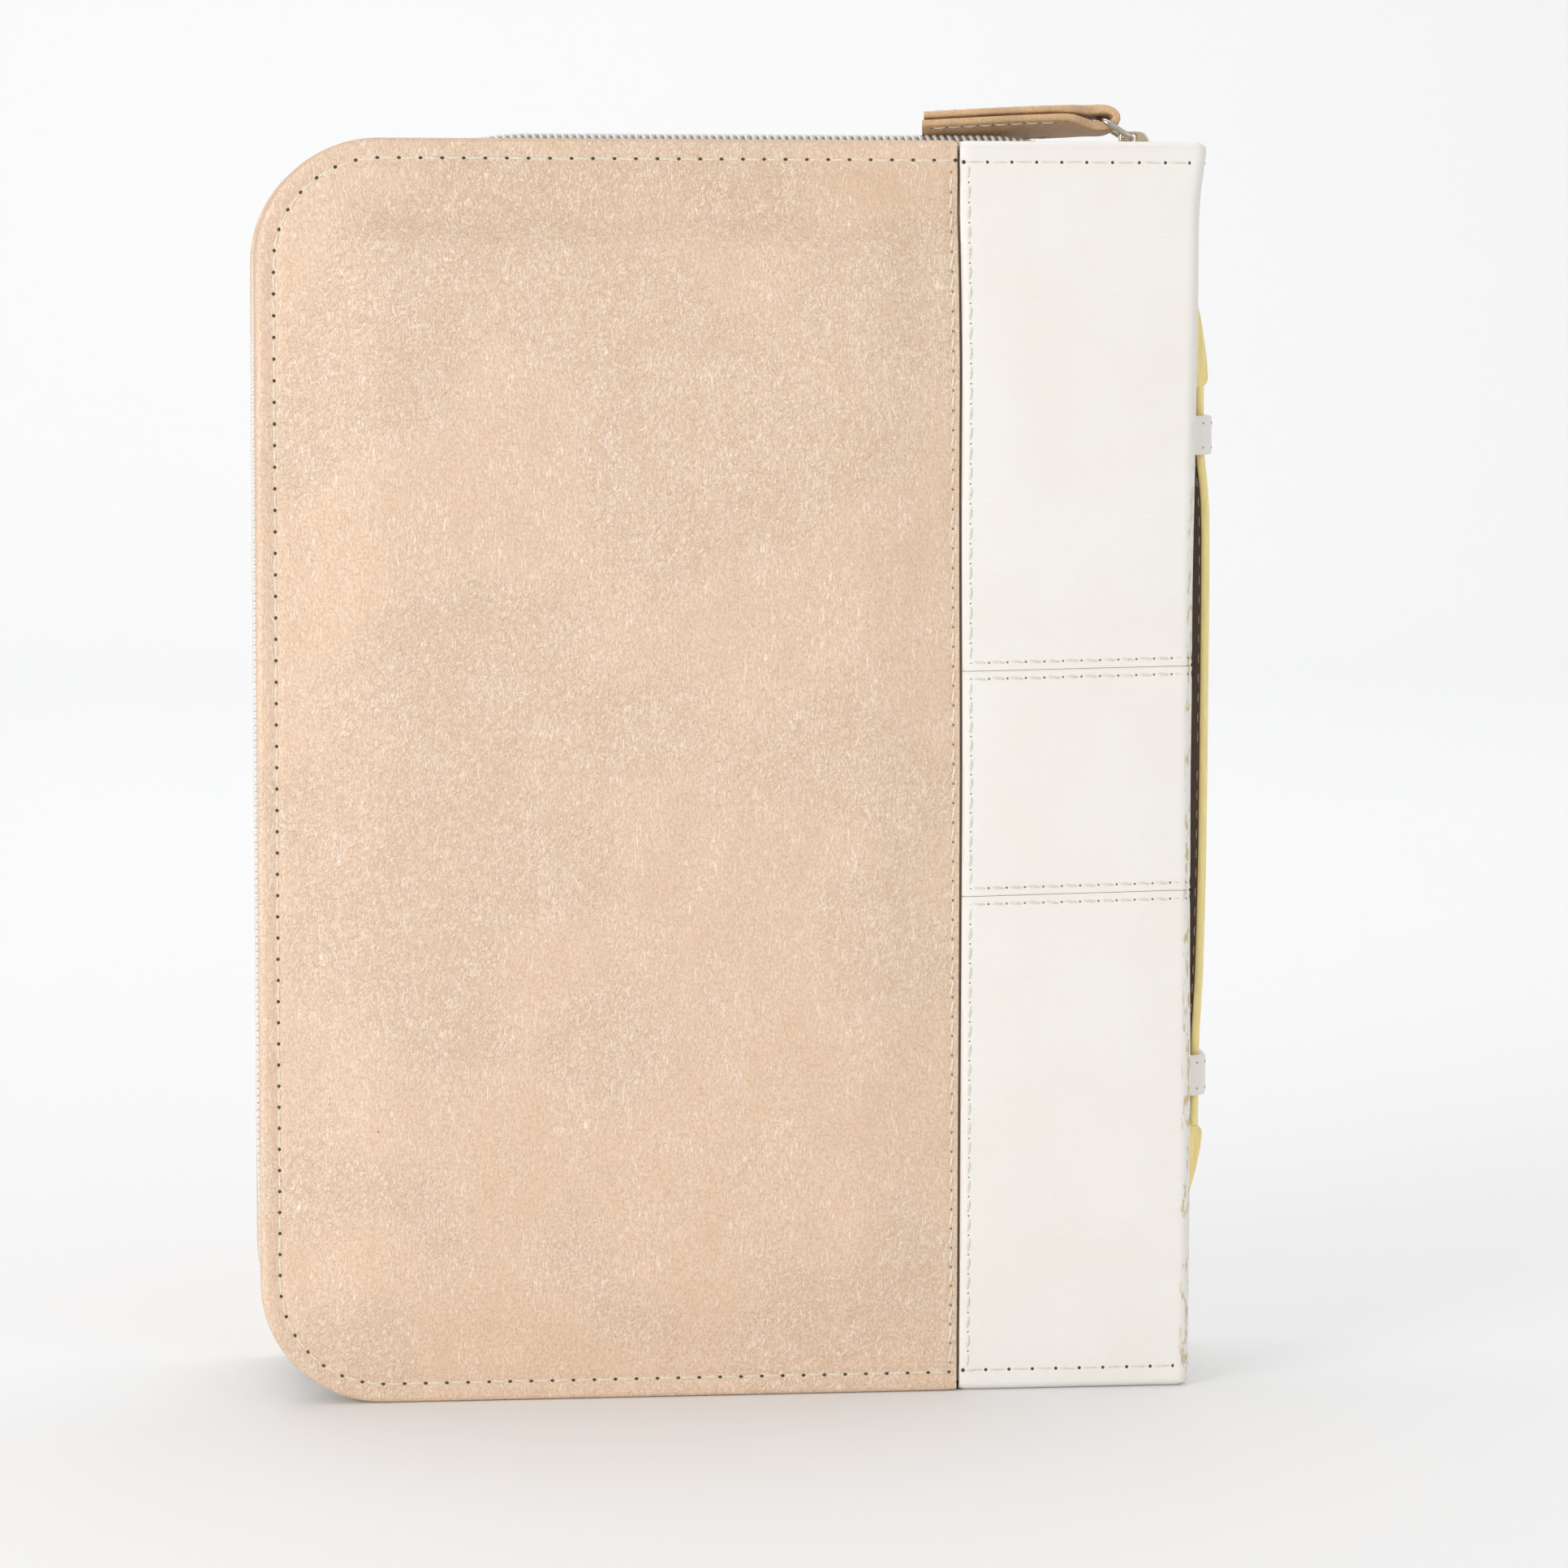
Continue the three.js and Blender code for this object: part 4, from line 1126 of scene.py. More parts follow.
def zip_tape(tag, side):
    """Woven tape between the cover's lining and the teeth: a thin strip with two sewn ridges.
    Its toothed side follows the teeth's bow, which fades out over 14 mm of its width."""
    sizes = bpy.context.scene.prayer_book_sizes
    line, _ = spaced(zip_line(2.7 * MM, 3.6 * MM, TAPE_TOP, 21.7 * MM), 1.6 * MM)
    _, out = outwards(line)
    y = np.linspace(0.8 * MM, 20.4 * MM, 60)
    ridge = 0.22 * bump((y - 4.2 * MM) / (0.45 * MM)) + 0.16 * bump((y - 5.8 * MM) / (0.3 * MM))
    level = MM * (ridge - 0.35 * np.sin(np.pi * np.clip((y - 6 * MM) / (14 * MM), 0, 1)))
    section = np.concatenate([np.stack([y, level + 0.3 * MM], -1), np.stack([y, level - 0.3 * MM], -1)[::-1]])
    centre = np.stack([line[:, 0], 0 * line[:, 0], line[:, 1]], -1)
    verts = centre[:, None] + out[:, None] * section[None, :, 1:]
    lift = sizes.zip_bow * top_lift(line[:, 0]) * (line[:, 1] > HEIGHT / 2)
    verts[..., 2] += lift[:, None] * smooth(1 - (section[:, 0] - 2.0 * MM) / (14 * MM))[None]
    verts[..., 1] = side * section[None, :, 0]
    faces = quads(len(line), len(section), wrap_cols=True)
    obj = piece(f"{tag}_zip_tape_woven", verts, faces, finish("tape"))
    placed(obj, f"{tag}_cover")
    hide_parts(f"{tag}_zip_tape")
    return obj


def zip_teeth(tag, side):
    """Moulded coil teeth: each is a hairpin loop, head past the middle, legs back to the tape.
    Loop at angle p: across = c - a sgn(cos p)|cos p|^0.6, height = b sgn(sin p)|sin p|^0.75, and it is
    thicker at the head."""
    sizes = bpy.context.scene.prayer_book_sizes
    way = zip_line(1.15 * MM, 2.05 * MM, COIL_TOP, 23.25 * MM, sizes.zip_bow, 0.4 * MM)
    line, _ = spaced(way, sizes.tooth)
    if side > 0:
        line = 0.5 * (line[:-1] + line[1:])
    along, out = outwards(line)
    p = np.linspace(0, 2 * np.pi, 12, endpoint=False)
    across = 1.0 * MM - 1.42 * MM * np.sign(np.cos(p)) * np.abs(np.cos(p)) ** 0.6
    height = 0.66 * MM * np.sign(np.sin(p)) * np.abs(np.sin(p)) ** 0.75
    shift = sizes.tooth * 0.18 * np.sin(p)
    round_ = sizes.tooth * (0.26 + 0.09 * np.clip(np.cos(p), 0, 1))
    flat = np.stack([across, height], -1)
    lead = unit(np.roll(flat, -1, 0) - np.roll(flat, 1, 0))
    normal = np.stack([lead[:, 1], -lead[:, 0]], -1)
    q = np.linspace(0, 2 * np.pi, 5, endpoint=False)
    cross = flat[:, None] + normal[:, None] * (np.cos(q) * 1.0)[None, :, None] * round_[:, None, None]
    sideways = shift[:, None] + round_[:, None] * 1.08 * np.sin(q)[None]
    centre = np.stack([line[:, 0], 0 * line[:, 0], line[:, 1]], -1)[:, None, None]
    verts = centre + out[:, None, None] * cross[None, ..., 1:]
    verts = verts + along[:, None, None] * sideways[None, ..., None]
    verts[..., 1] = side * cross[None, ..., 0]
    per = len(p) * len(q)
    base = quads(len(p), len(q), wrap_rows=True, wrap_cols=True)
    faces = (base[None] + (np.arange(len(line)) * per)[:, None, None]).reshape(-1, 4)
    obj = piece(f"{tag}_zip_teeth", verts.reshape(-1, 3), faces, finish("nylon"), fill=False, weld=False,
                sharp=80)
    placed(obj, f"{tag}_cover")
    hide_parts(f"{tag}_zip_coil")
    return obj


def zip_stops(tag):
    """The crimped stops at both ends of the teeth."""
    for end in ("top", "bottom"):
        obj = softened(f"{tag}_zip_stop_{end}", finish("gold"), 0.3 * MM, 3)
        placed(obj, f"{tag}_cover")


def slider():
    """Slider body and bridge, their edges eased as die castings have them."""
    for name, ease in (("slider_body", 0.22), ("slider_bridge", 0.3)):
        placed(softened(name, finish("gold"), ease * MM, 3), "zipper_slider")


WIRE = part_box("pull_wire")
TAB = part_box("pull_tab")
WIRE_R = 0.6 * MM
PIVOT = np.array([WIRE[1][0] - WIRE_R, 0.0, WIRE[0][2] + WIRE_R])
TIP = np.array([WIRE[0][0] + WIRE_R, 0.0, WIRE[1][2] - WIRE_R])


def pull_wire():
    """Wire loop: a superellipse, |cos|^0.5 by |sin|^0.5, in the plane of the pivot bar and the tab's bar."""
    half = WIRE[1][1] - WIRE_R
    middle, lead = (PIVOT + TIP) / 2, (TIP - PIVOT) / 2
    a = np.linspace(0, 2 * np.pi, 97)[:-1]
    c, s = np.cos(a), np.sin(a)
    path = middle + np.sign(c)[:, None] * (np.abs(c) ** 0.42)[:, None] * lead
    path[:, 1] += half * np.sign(s) * np.abs(s) ** 0.42
    t = unit(np.roll(path, -1, 0) - np.roll(path, 1, 0))
    flat = unit(np.cross(lead, (0, 1, 0)))
    turn = np.linspace(0, 2 * np.pi, 12, endpoint=False)
    side = np.cross(t, flat)
    verts = path[:, None] + WIRE_R * (side[:, None] * np.cos(turn)[None, :, None]
                                      + flat[None, None] * np.sin(turn)[None, :, None])
    faces = quads(len(path), 12, wrap_rows=True, wrap_cols=True)
    obj = piece("pull_wire_bent", verts, faces, finish("nickel"))
    placed(obj, "pull_wire")
    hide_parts("pull_wire")
    return obj


def tab_line(count=90):
    """The folded strip's centre line, (x, z, width share): under layer, round the wire, upper layer.
    The two layers close on each other beyond the wire, and the upper one ends a little short."""
    reach = TIP[0] - TAB[0][0] - 0.6 * MM
    gap, loop = 0.90 * MM, 1.75 * MM
    u = np.linspace(0, 1, count)
    x = reach * (1 - u)
    open_ = gap + (loop - gap) * smooth(1 - x / (8 * MM))
    under = np.stack([-x, -open_], -1)
    a = np.linspace(-np.pi / 2, np.pi / 2, 14)[1:-1]
    fold = np.stack([(loop + 1.2 * MM) * np.cos(a), loop * np.sin(a)], -1)
    upper = np.stack([-x[::-1], open_[::-1]], -1)[: count - 1]
    return np.concatenate([under, fold, upper])


def tab_frame(line, offset):
    """Points of the tab: line gives (along, height) from the wire's bar, offset the distance across.
    The tab turns about its own length, its near edge up: 0.55 of the roll at the wire, all of it from 10 mm.
    Its far end is cut a little aslant."""
    sizes = bpy.context.scene.prayer_book_sizes
    lead = unit(np.array([TIP[0] - TAB[0][0], 0.0, 1.2 * MM]))
    up = np.cross(lead, (0, 1, 0)) * -1
    up = up if up[2] > 0 else -up
    away = np.clip(-line[..., 0], 0, None)
    angle = sizes.tab_roll * (0.55 + 0.45 * smooth(away / (10 * MM)))
    y = offset * np.cos(angle) - line[..., 1] * np.sin(angle) * -1
    z = line[..., 1] * np.cos(angle) - offset * np.sin(angle)
    sag = 0.5 * MM * smooth(away / (38 * MM)) ** 2
    cut = 0.13 * y * smooth(away / (36 * MM))
    flat = (line[..., 0] + cut)[..., None] * lead + y[..., None] * np.array([0, 1.0, 0])
    return TIP + flat + (z - sag)[..., None] * up


def tab_width(away):
    """Half width of the tab: a neck at the wire, then full width, a little narrower at the end."""
    return MM * (3.7 + 2.8 * smooth((away - 1.0 * MM) / (6 * MM)) - 0.3 * smooth((away - 30 * MM) / (8 * MM)))


def pull_tab():
    """Leather tab: one strip folded round the wire, its section a flat oval that is carried along."""
    line = tab_line()
    t = tangents(line)
    normal = np.stack([-t[:, 1], t[:, 0]], -1)
    thick = 0.88 * MM * (1 + 0.32 * smooth(1 - np.abs(line[:, :1] + 2.5 * MM) / (9 * MM)))
    k = 28
    a = np.linspace(0, 2 * np.pi, k, endpoint=False)
    cy = np.sign(np.cos(a)) * np.abs(np.cos(a)) ** 0.35
    cn = np.sign(np.sin(a)) * np.abs(np.sin(a)) ** 0.55
    half = tab_width(np.clip(-line[:, 0], 0, None))
    crease = MM * (0.12 * bump((cy + 0.05) / 0.18) - 0.16 * bump((cy - 0.25) / 0.12)) * (cn > 0)
    depth = thick * cn[None] + crease[None] * smooth(-line[:, :1] / (6 * MM))
    spots = line[:, None] + normal[:, None] * depth[..., None]
    verts = tab_frame(spots, half[:, None] * cy[None])
    slots = np.zeros((len(line) - 1, k), int)
    edge = np.abs(0.5 * (cn + np.roll(cn, -1))) < 0.75
    slots[:, edge] = 1
    obj = piece("pull_tab_leather", verts, quads(len(line), k, wrap_cols=True),
                [finish("tab"), finish("tab edge")], slots=slots.ravel(), sharp=55)
    placed(obj, "pull_tab")
    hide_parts("pull_tab")
    reach = TIP[0] - TAB[0][0] - 2.5 * MM
    rows = []
    for edge_side in (-1, 1):
        x = -np.linspace(10 * MM, reach, 200)
        holes, _ = spaced(np.stack([x, 0 * x], -1), 3.2 * MM)
        for face in (1, -1):
            at = np.stack([holes[:, 0], np.full(len(holes), face * 1.79 * MM)], -1)
            points = tab_frame(at, edge_side * (tab_width(-at[:, 0]) - 1.5 * MM))
            above = tab_frame(at + np.array([0, face * MM]), edge_side * (tab_width(-at[:, 0]) - 1.5 * MM))
            rows.append((points, unit(above - points)))
    thread = sewn("pull_tab_stitches", rows, radius=0.16 * MM, hole_radius=0.2 * MM, lift=0.08 * MM)
    placed(thread, "pull_tab")
    return obj


# ---------------------------------------------------------------- strap, stoppers and keepers


STRAP_OFF = (
    (52.0, 3.7), (59.8, 3.7), (68.2, 3.75), (71.6, 3.8), (76.4, 4.1), (84.0, 4.45), (96.0, 4.7), (111.0, 4.9),
    (129.0, 4.95), (166.6, 4.95), (175.0, 4.9), (181.6, 4.7), (187.0, 4.2), (190.4, 3.7), (198.4, 3.45),
    (207.0, 3.4))
STRAP_WIDTH, STRAP_THICK = 25 * MM, 1.7 * MM
STRAP_SPLIT = 129.0


def strap_path(low, high, count):
    """The strap's centre line from low to high, in mm of height. It stands off the spine by STRAP_OFF,
    averaged over 5 mm so that it bends and doesn't kink."""
    z = np.linspace(low, high, count)
    table = np.array(STRAP_OFF)
    shifts = np.linspace(-2.5, 2.5, 11)
    weight = np.cos(shifts / 5 * np.pi)
    stand = sum(w * np.interp(z + s, table[:, 0], table[:, 1]) for s, w in zip(shifts, weight)) / weight.sum()
    return np.stack([X_SPINE + stand * MM, 0 * z, z * MM], -1)


def strap_section():
    """Outer face slightly crowned with two stitch grooves, flat lining side, painted round edges.
    Returns the points (across, out) and the finish of the face after each point."""
    half, t, r = STRAP_WIDTH / 2, STRAP_THICK / 2, 0.7 * MM
    y = np.linspace(half - r, -half + r, 25)
    crown = 0.18 * MM * (1 - (y / half) ** 2)
    groove = 0.18 * MM * (bump((np.abs(y) - half + 2.4 * MM) / (0.5 * MM)))
    outer = np.stack([y, t + crown - groove], -1)
    a = np.linspace(np.pi / 2, 3 * np.pi / 2, 9)[1:-1]
    left = np.stack([-half + r + r * np.cos(a), t * np.sin(a)], -1)
    inner = np.stack([y[::-1][::3], np.full(9, -t)], -1)
    right = np.stack([-left[::-1, 0], left[::-1, 1]], -1)
    section = np.concatenate([outer, left, inner, right])
    kind = np.array([0] * 24 + [1] * 8 + [2] * 8 + [1] * 8)
    return section, kind


def strap_run(name, low, high, nodes):
    """One half of the strap, between the grip and its sliding end."""
    path = strap_path(low, high, 90)
    section, kind = strap_section()
    along = tangents(path)
    across = np.broadcast_to((0.0, 1.0, 0.0), along.shape)
    verts = carried(path, along, across, section)
    slots = np.broadcast_to(kind, (len(path) - 1, len(kind)))
    skins = [finish("rose"), finish("edge"), finish("strap lining and shade")]
    obj = piece(name, verts, quads(len(path), len(section), wrap_cols=True), skins, slots=slots.ravel(),
                sharp=40)
    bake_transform(obj)
    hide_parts(*nodes)
    faces = {1: [], -1: []}
    for y_sign in (-1, 1):
        for face, reach in ((1, 0.90), (-1, 0.87)):
            line = strap_path(low + 2, high - 2, 200)
            holes, _ = spaced(line, 4.0 * MM)
            t = tangents(holes)
            out = face * np.stack([t[:, 2], 0 * t[:, 0], -t[:, 0]], -1)
            holes = holes + out * reach * MM * 0.98
            holes[:, 1] = y_sign * (STRAP_WIDTH / 2 - 2.4 * MM)
            faces[face].append((holes, out))
    sewing = sewn(f"{name}_stitches", faces[1], radius=0.24 * MM, hole_radius=0.28 * MM)
    under = sewn(f"{name}_lining_stitches", faces[-1], radius=0.13 * MM, hole_radius=0.15 * MM,
                 span_ratio=0.62)
    for made in (sewing, under):
        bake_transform(made)
    return obj


def strap():
    """The strap's two halves, which meet at the middle of the grip."""
    strap_run("handle_strap_upper", STRAP_SPLIT, 206.0,
              ("handle_grip", "handle_upper_run"))
    strap_run("handle_strap_lower", 52.2, STRAP_SPLIT, ("handle_lower_run",))


# word, z of the thick end, z of the thin end, height at the thick end, height at the thin end, in mm
STOPPERS = (("upper", 205.0, 224.5, 5.1, 2.2), ("lower", 52.5, 36.0, 5.4, 2.0))


def stopper(word, z_thick, z_thin, tall, short):
    """Wedge where the strap's end is folded back on itself: its outline (height off the spine, z) is a
    rounded wedge, carried across the width and drawn in a little at both painted sides."""
    count = 40
    u = np.linspace(0, 1, count)
    base = MM * (1.6 - 0.9 * u)
    top = short + (tall - short) * (1 - u ** 1.8)
    ease = np.sqrt(np.clip(1 - np.clip(1 - u * 9, 0, 1) ** 2, 0, 1)) * np.sqrt(
        np.clip(1 - np.clip(1 - (1 - u) * 12, 0, 1) ** 2, 0, 1))
    high = base + (top * MM - base) * (0.35 + 0.65 * ease)
    z = (z_thick + (z_thin - z_thick) * u) * MM
    outer = np.stack([high, z], -1)
    inner = np.stack([base[::-1], z[::-1]], -1)
    outline = np.concatenate([outer, inner[::2]])
    centre = outline.mean(0)
    half = 12.5 * MM
    round_edge = 0.6 * MM
    turn = np.linspace(0, np.pi / 2, 6)
    inset = round_edge * (1 - np.cos(turn))
    y = np.concatenate([-half + inset, half - inset[::-1]])
    draw = round_edge * (1 - np.sin(np.concatenate([turn, turn[::-1]])))
    inward = unit(centre - outline)
    ring = outline[None] + inward[None] * draw[:, None, None]
    verts = np.stack([X_SPINE + ring[..., 0], np.broadcast_to(y[:, None], ring.shape[:2]), ring[..., 1]], -1)
    slots = np.ones((len(y) - 1, len(outline)), int)
    slots[5, : count - 1] = 0
    obj = piece(f"handle_{word}_stopper_leather", verts, quads(len(y), len(outline), wrap_cols=True),
                [finish("rose"), finish("edge")], slots=slots.ravel(), sharp=50)
    caps = [p for p in obj.data.polygons if len(p.vertices) > 4]
    for face in caps:
        face.material_index = 1
    placed(obj, f"handle_{word}_end")
    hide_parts(f"handle_{word}_stopper")
    inset = np.linspace(0.12, 0.9, 40)
    rows = []
    for sign in (-1, 1):
        zz = z_thick + (z_thin - z_thick) * inset
        up = np.interp(inset, u, high) + 0.02 * MM
        line = np.stack([X_SPINE + up, 0 * zz + sign * (half - 2.4 * MM), zz * MM], -1)
        holes, _ = spaced(line, 3.2 * MM)
        t = tangents(holes)
        out = np.stack([np.abs(t[:, 2]), 0 * t[:, 0], -t[:, 0] * np.sign(t[:, 2])], -1)
        rows.append((holes, out))
    sewing = sewn(f"handle_{word}_stopper_stitches", rows, radius=0.22 * MM, hole_radius=0.26 * MM)
    placed(sewing, f"handle_{word}_end")
    return obj


KEEPER_SHIFT = {"upper": 1.1 * MM, "lower": -0.9 * MM}


def keeper(word):
    """Loop of cream leather over the strap: a flat section carried over an arch, |cos|^0.3 by |sin|^0.3."""
    low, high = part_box(f"keeper_{word}")
    half, top = high[1] - 0.75 * MM, high[0] - X_SPINE + 0.55 * MM
    a = np.linspace(0.0, np.pi, 73)
    y = half * np.sign(np.cos(a)) * np.abs(np.cos(a)) ** 0.30
    y = y * (1 - 0.06 * np.sin(a) ** 0.5)
    x = top * np.abs(np.sin(a)) ** 0.30
    middle = (low[2] + high[2]) / 2 + KEEPER_SHIFT[word]
    path = np.stack([X_SPINE - 0.3 * MM + x + 0.3 * MM * (x > 0), y, 0 * y + middle], -1)
    path, _ = spaced(path, 0.55 * MM)
    section = rounded_section(high[2] - low[2], 1.5 * MM, 0.55 * MM)
    along = tangents(path)
    across = np.broadcast_to((0.0, 0.0, 1.0), along.shape)
    verts = carried(path, along, across, section)
    obj = piece(f"keeper_{word}_leather", verts, quads(len(path), len(section), wrap_cols=True),
                finish("cream"), sharp=50)
    placed(obj, "spine")
    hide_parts(f"keeper_{word}")
    rows = []
    out = unit(np.cross(across, along))
    out = out * np.sign(np.sum(out * (path - path.mean(0)), -1, keepdims=True) + 1e-9)
    for sign in (-1, 1):
        line = path + out * 0.76 * MM
        line[:, 2] += sign * ((high[2] - low[2]) / 2 - 1.5 * MM)
        holes, place = spaced(line[6:-6], 3.0 * MM)
        normal = unit(np.stack([np.interp(place + 6, np.arange(len(out)), out[:, k]) for k in range(3)], -1))
        rows.append((holes, normal))
    sewing = sewn(f"keeper_{word}_stitches", rows, "small hole", radius=0.2 * MM, hole_radius=0.24 * MM,
                  lift=0.08 * MM)
    placed(sewing, "spine")
    return obj


# ---------------------------------------------------------------- inside the cover


def leaves(tag):
    """A block of leaves: its outline drawn in at each height by 0.12 mm (sin 9k + sin 5.3k)^2, so the page
    edges show as steps; the fold side stays flush."""
    low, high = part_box(f"{tag}_leaves")
    levels = np.linspace(low[1], high[1], 56)
    k = np.arange(len(levels))
    draw = 0.07 * MM * (np.sin(9.1 * k) + np.sin(5.3 * k)) ** 2
    draw[0], draw[-1] = 0.25 * MM, 0.25 * MM
    r = 8 * MM
    a = np.linspace(0, np.pi / 2, 9)
    upper = np.stack([low[0] + r * (1 - np.cos(a)), high[2] - r * (1 - np.sin(a))], -1)
    lower = upper * (1, -1) + (0, low[2] + high[2])
    ends_x = np.full(10, high[0])
    ends_z = np.linspace(low[2], high[2], 10)
    side_z = np.linspace(low[2] + r, high[2] - r, 12)[1:-1]
    run_x = np.linspace(low[0] + r, high[0], 14)[1:-1]
    outline = np.concatenate([
        np.stack([run_x, np.full(12, low[2])], -1), np.stack([ends_x, ends_z], -1),
        np.stack([run_x[::-1], np.full(12, high[2])], -1), upper[::-1],
        np.stack([np.full(10, low[0]), side_z[::-1]], -1), lower])
    centre = np.array([high[0], (low[2] + high[2]) / 2])
    size = np.array([high[0] - low[0], (high[2] - low[2]) / 2])
    scale = 1 - draw[:, None, None] / size
    ring = centre + (outline - centre)[None] * scale
    verts = np.stack([ring[..., 0], np.broadcast_to(levels[:, None], ring.shape[:2]), ring[..., 1]], -1)
    obj = piece(f"{tag}_leaves_stacked", verts, quads(len(levels), len(outline), wrap_cols=True),
                [finish("pages"), finish("endpaper")])
    # the outermost pages are plain paper
    faces = obj.data.polygons
    normals = np.empty(len(faces) * 3, np.float32)
    faces.foreach_get("normal", normals)
    faces.foreach_set("material_index", (np.abs(normals[1::3]) > 0.9).astype(np.int32))
    placed(obj, f"{tag}_leaves")
    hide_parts(f"{tag}_leaves")
    return obj


def headband(word):
    """Rolled silk headband: a round-topped strip along the spine of the book with wound ridges."""
    low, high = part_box(f"headband_{word}")
    y = np.linspace(low[1], high[1], 120)
    wound = 1 + 0.08 * np.sin(y * 5200.0)
    a = np.linspace(0, 2 * np.pi, 14, endpoint=False)
    mid_x, mid_z = (low[0] + high[0]) / 2, (low[2] + high[2]) / 2
    rx, rz = (high[0] - low[0]) / 2, (high[2] - low[2]) / 2
    verts = np.stack([mid_x + rx * wound[:, None] * np.cos(a), np.broadcast_to(y[:, None], (120, 14)),
                      mid_z + rz * wound[:, None] * np.sin(a)], -1)
    obj = piece(f"headband_{word}_wound", verts, quads(120, 14, wrap_cols=True), finish("band"))
    placed(obj, "spine")
    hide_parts(f"headband_{word}")
    return obj


def inside():
    """Linings, boards, foam, endpapers, sleeves and the book, with what shows of them eased and finished."""
    for tag, _ in SIDES:
        leaves(tag)
        # the foam takes the dark board stock: painted shade in the narrow gaps between the leather pieces
        for part, look in (("foam", "board"), ("board", "board"), ("lining", "lining"),
                           ("endpaper", "endpaper")):
            dress(f"{tag}_{part}", finish(look))
        placed(softened(f"{tag}_sleeve", finish("lining")), f"{tag}_cover")
        placed(softened(f"{tag}_book_board", finish("book cloth"), 0.5 * MM, 3), f"{tag}_cover")
    for word in ("top", "bottom"):
        headband(word)
    dress("spine_board", finish("board"))
    dress("spine_lining", finish("lining"))
    placed(softened("book_spine_strip", finish("book cloth"), 0.4 * MM, 3), "spine")
    placed(softened("text_block_binding", finish("binding"), 0.3 * MM, 2), "spine")


# ---------------------------------------------------------------- the studio


AIM = np.array([0.01063, 0.0, 0.12302])
DISTANCE = 1.1
AZIMUTH, ELEVATION, ROLL = math.radians(-6.47), math.radians(5.49), math.radians(0.13)


def camera():
    """A long lens, a little to the fore-edge side and a little above, turned to the middle of the cover."""
    ahead = np.array([-math.sin(AZIMUTH) * math.cos(ELEVATION), math.cos(AZIMUTH) * math.cos(ELEVATION),
                      -math.sin(ELEVATION)])
    right = np.array([math.cos(AZIMUTH), math.sin(AZIMUTH), 0.0])
    up = np.cross(right, ahead)
    c, s = math.cos(ROLL), math.sin(ROLL)
    right, up = c * right + s * up, c * up - s * right
    data = bpy.data.cameras.new("camera")
    data.sensor_width = 36.0
    data.lens = 121.9
    data.clip_start, data.clip_end = 0.05, 20.0
    obj = bpy.data.objects.new("camera", data)
    bpy.context.scene.collection.objects.link(obj)
    turn = np.eye(4)
    turn[:3, 0], turn[:3, 1], turn[:3, 2] = right, up, -ahead
    turn[:3, 3] = AIM - ahead * DISTANCE
    obj.matrix_world = Matrix(turn.tolist())
    bpy.context.scene.camera = obj


def area_light(name, place, size, watts, colour=(1, 1, 1), aim=AIM):
    """A square soft light, turned to a point, which is the middle of the cover unless another is given."""
    data = bpy.data.lights.new(name, "AREA")
    data.shape = "SQUARE"
    data.size = size
    data.energy = watts
    data.color = colour
    obj = bpy.data.objects.new(name, data)
    bpy.context.scene.collection.objects.link(obj)
    obj.location = place
    obj.rotation_euler = (Vector([float(a) for a in aim]) - Vector(place)).to_track_quat("-Z", "Y").to_euler()
    return obj


def sweep():
    """Floor that curves up into a wall behind: flat, a quarter circle, then upright."""
    a = np.linspace(0, np.pi / 2, 24)
    r, start, back = 0.7, -3.0, 1.9
    y = np.concatenate([[start, 0.0, back - 0.5], back + r * np.sin(a), [back + r]])
    z = np.concatenate([[0.0, 0.0, 0.0], r * (1 - np.cos(a)), [4.0]])
    x = np.linspace(-4.0, 4.0, 9)
    verts = np.stack(np.broadcast_arrays(x[None], y[:, None], z[:, None]), -1)
    obj = piece("white_sweep", verts, quads(len(y), len(x)), finish("floor"), fill=False)
    return obj


def studio():
    """World, lights, sweep and camera."""
    world = bpy.data.worlds.new("studio white")
    world.use_nodes = True
    back = world.node_tree.nodes["Background"]
    sizes = bpy.context.scene.prayer_book_sizes
    back.inputs["Color"].default_value = (1.0, 0.995, 0.985, 1.0)
    back.inputs["Strength"].default_value = sizes.world
    bpy.context.scene.world = world
    bpy.context.scene.view_settings.view_transform = "Standard"
    area_light("key", (-1.25, -1.05, 0.32), 0.9, sizes.key, (1.0, 0.985, 0.96))
    area_light("fill", (1.3, -1.2, 0.55), 1.2, sizes.fill, (0.97, 0.985, 1.0))
    area_light("top", (0.0, -0.1, 1.6), 1.2, 0.5 * sizes.fill)
    area_light("wall", (0.0, 1.0, 2.4), 2.4, sizes.wall, aim=(0.0, 2.6, 0.3))
    sweep()
    camera()


# ---------------------------------------------------------------- the add-on


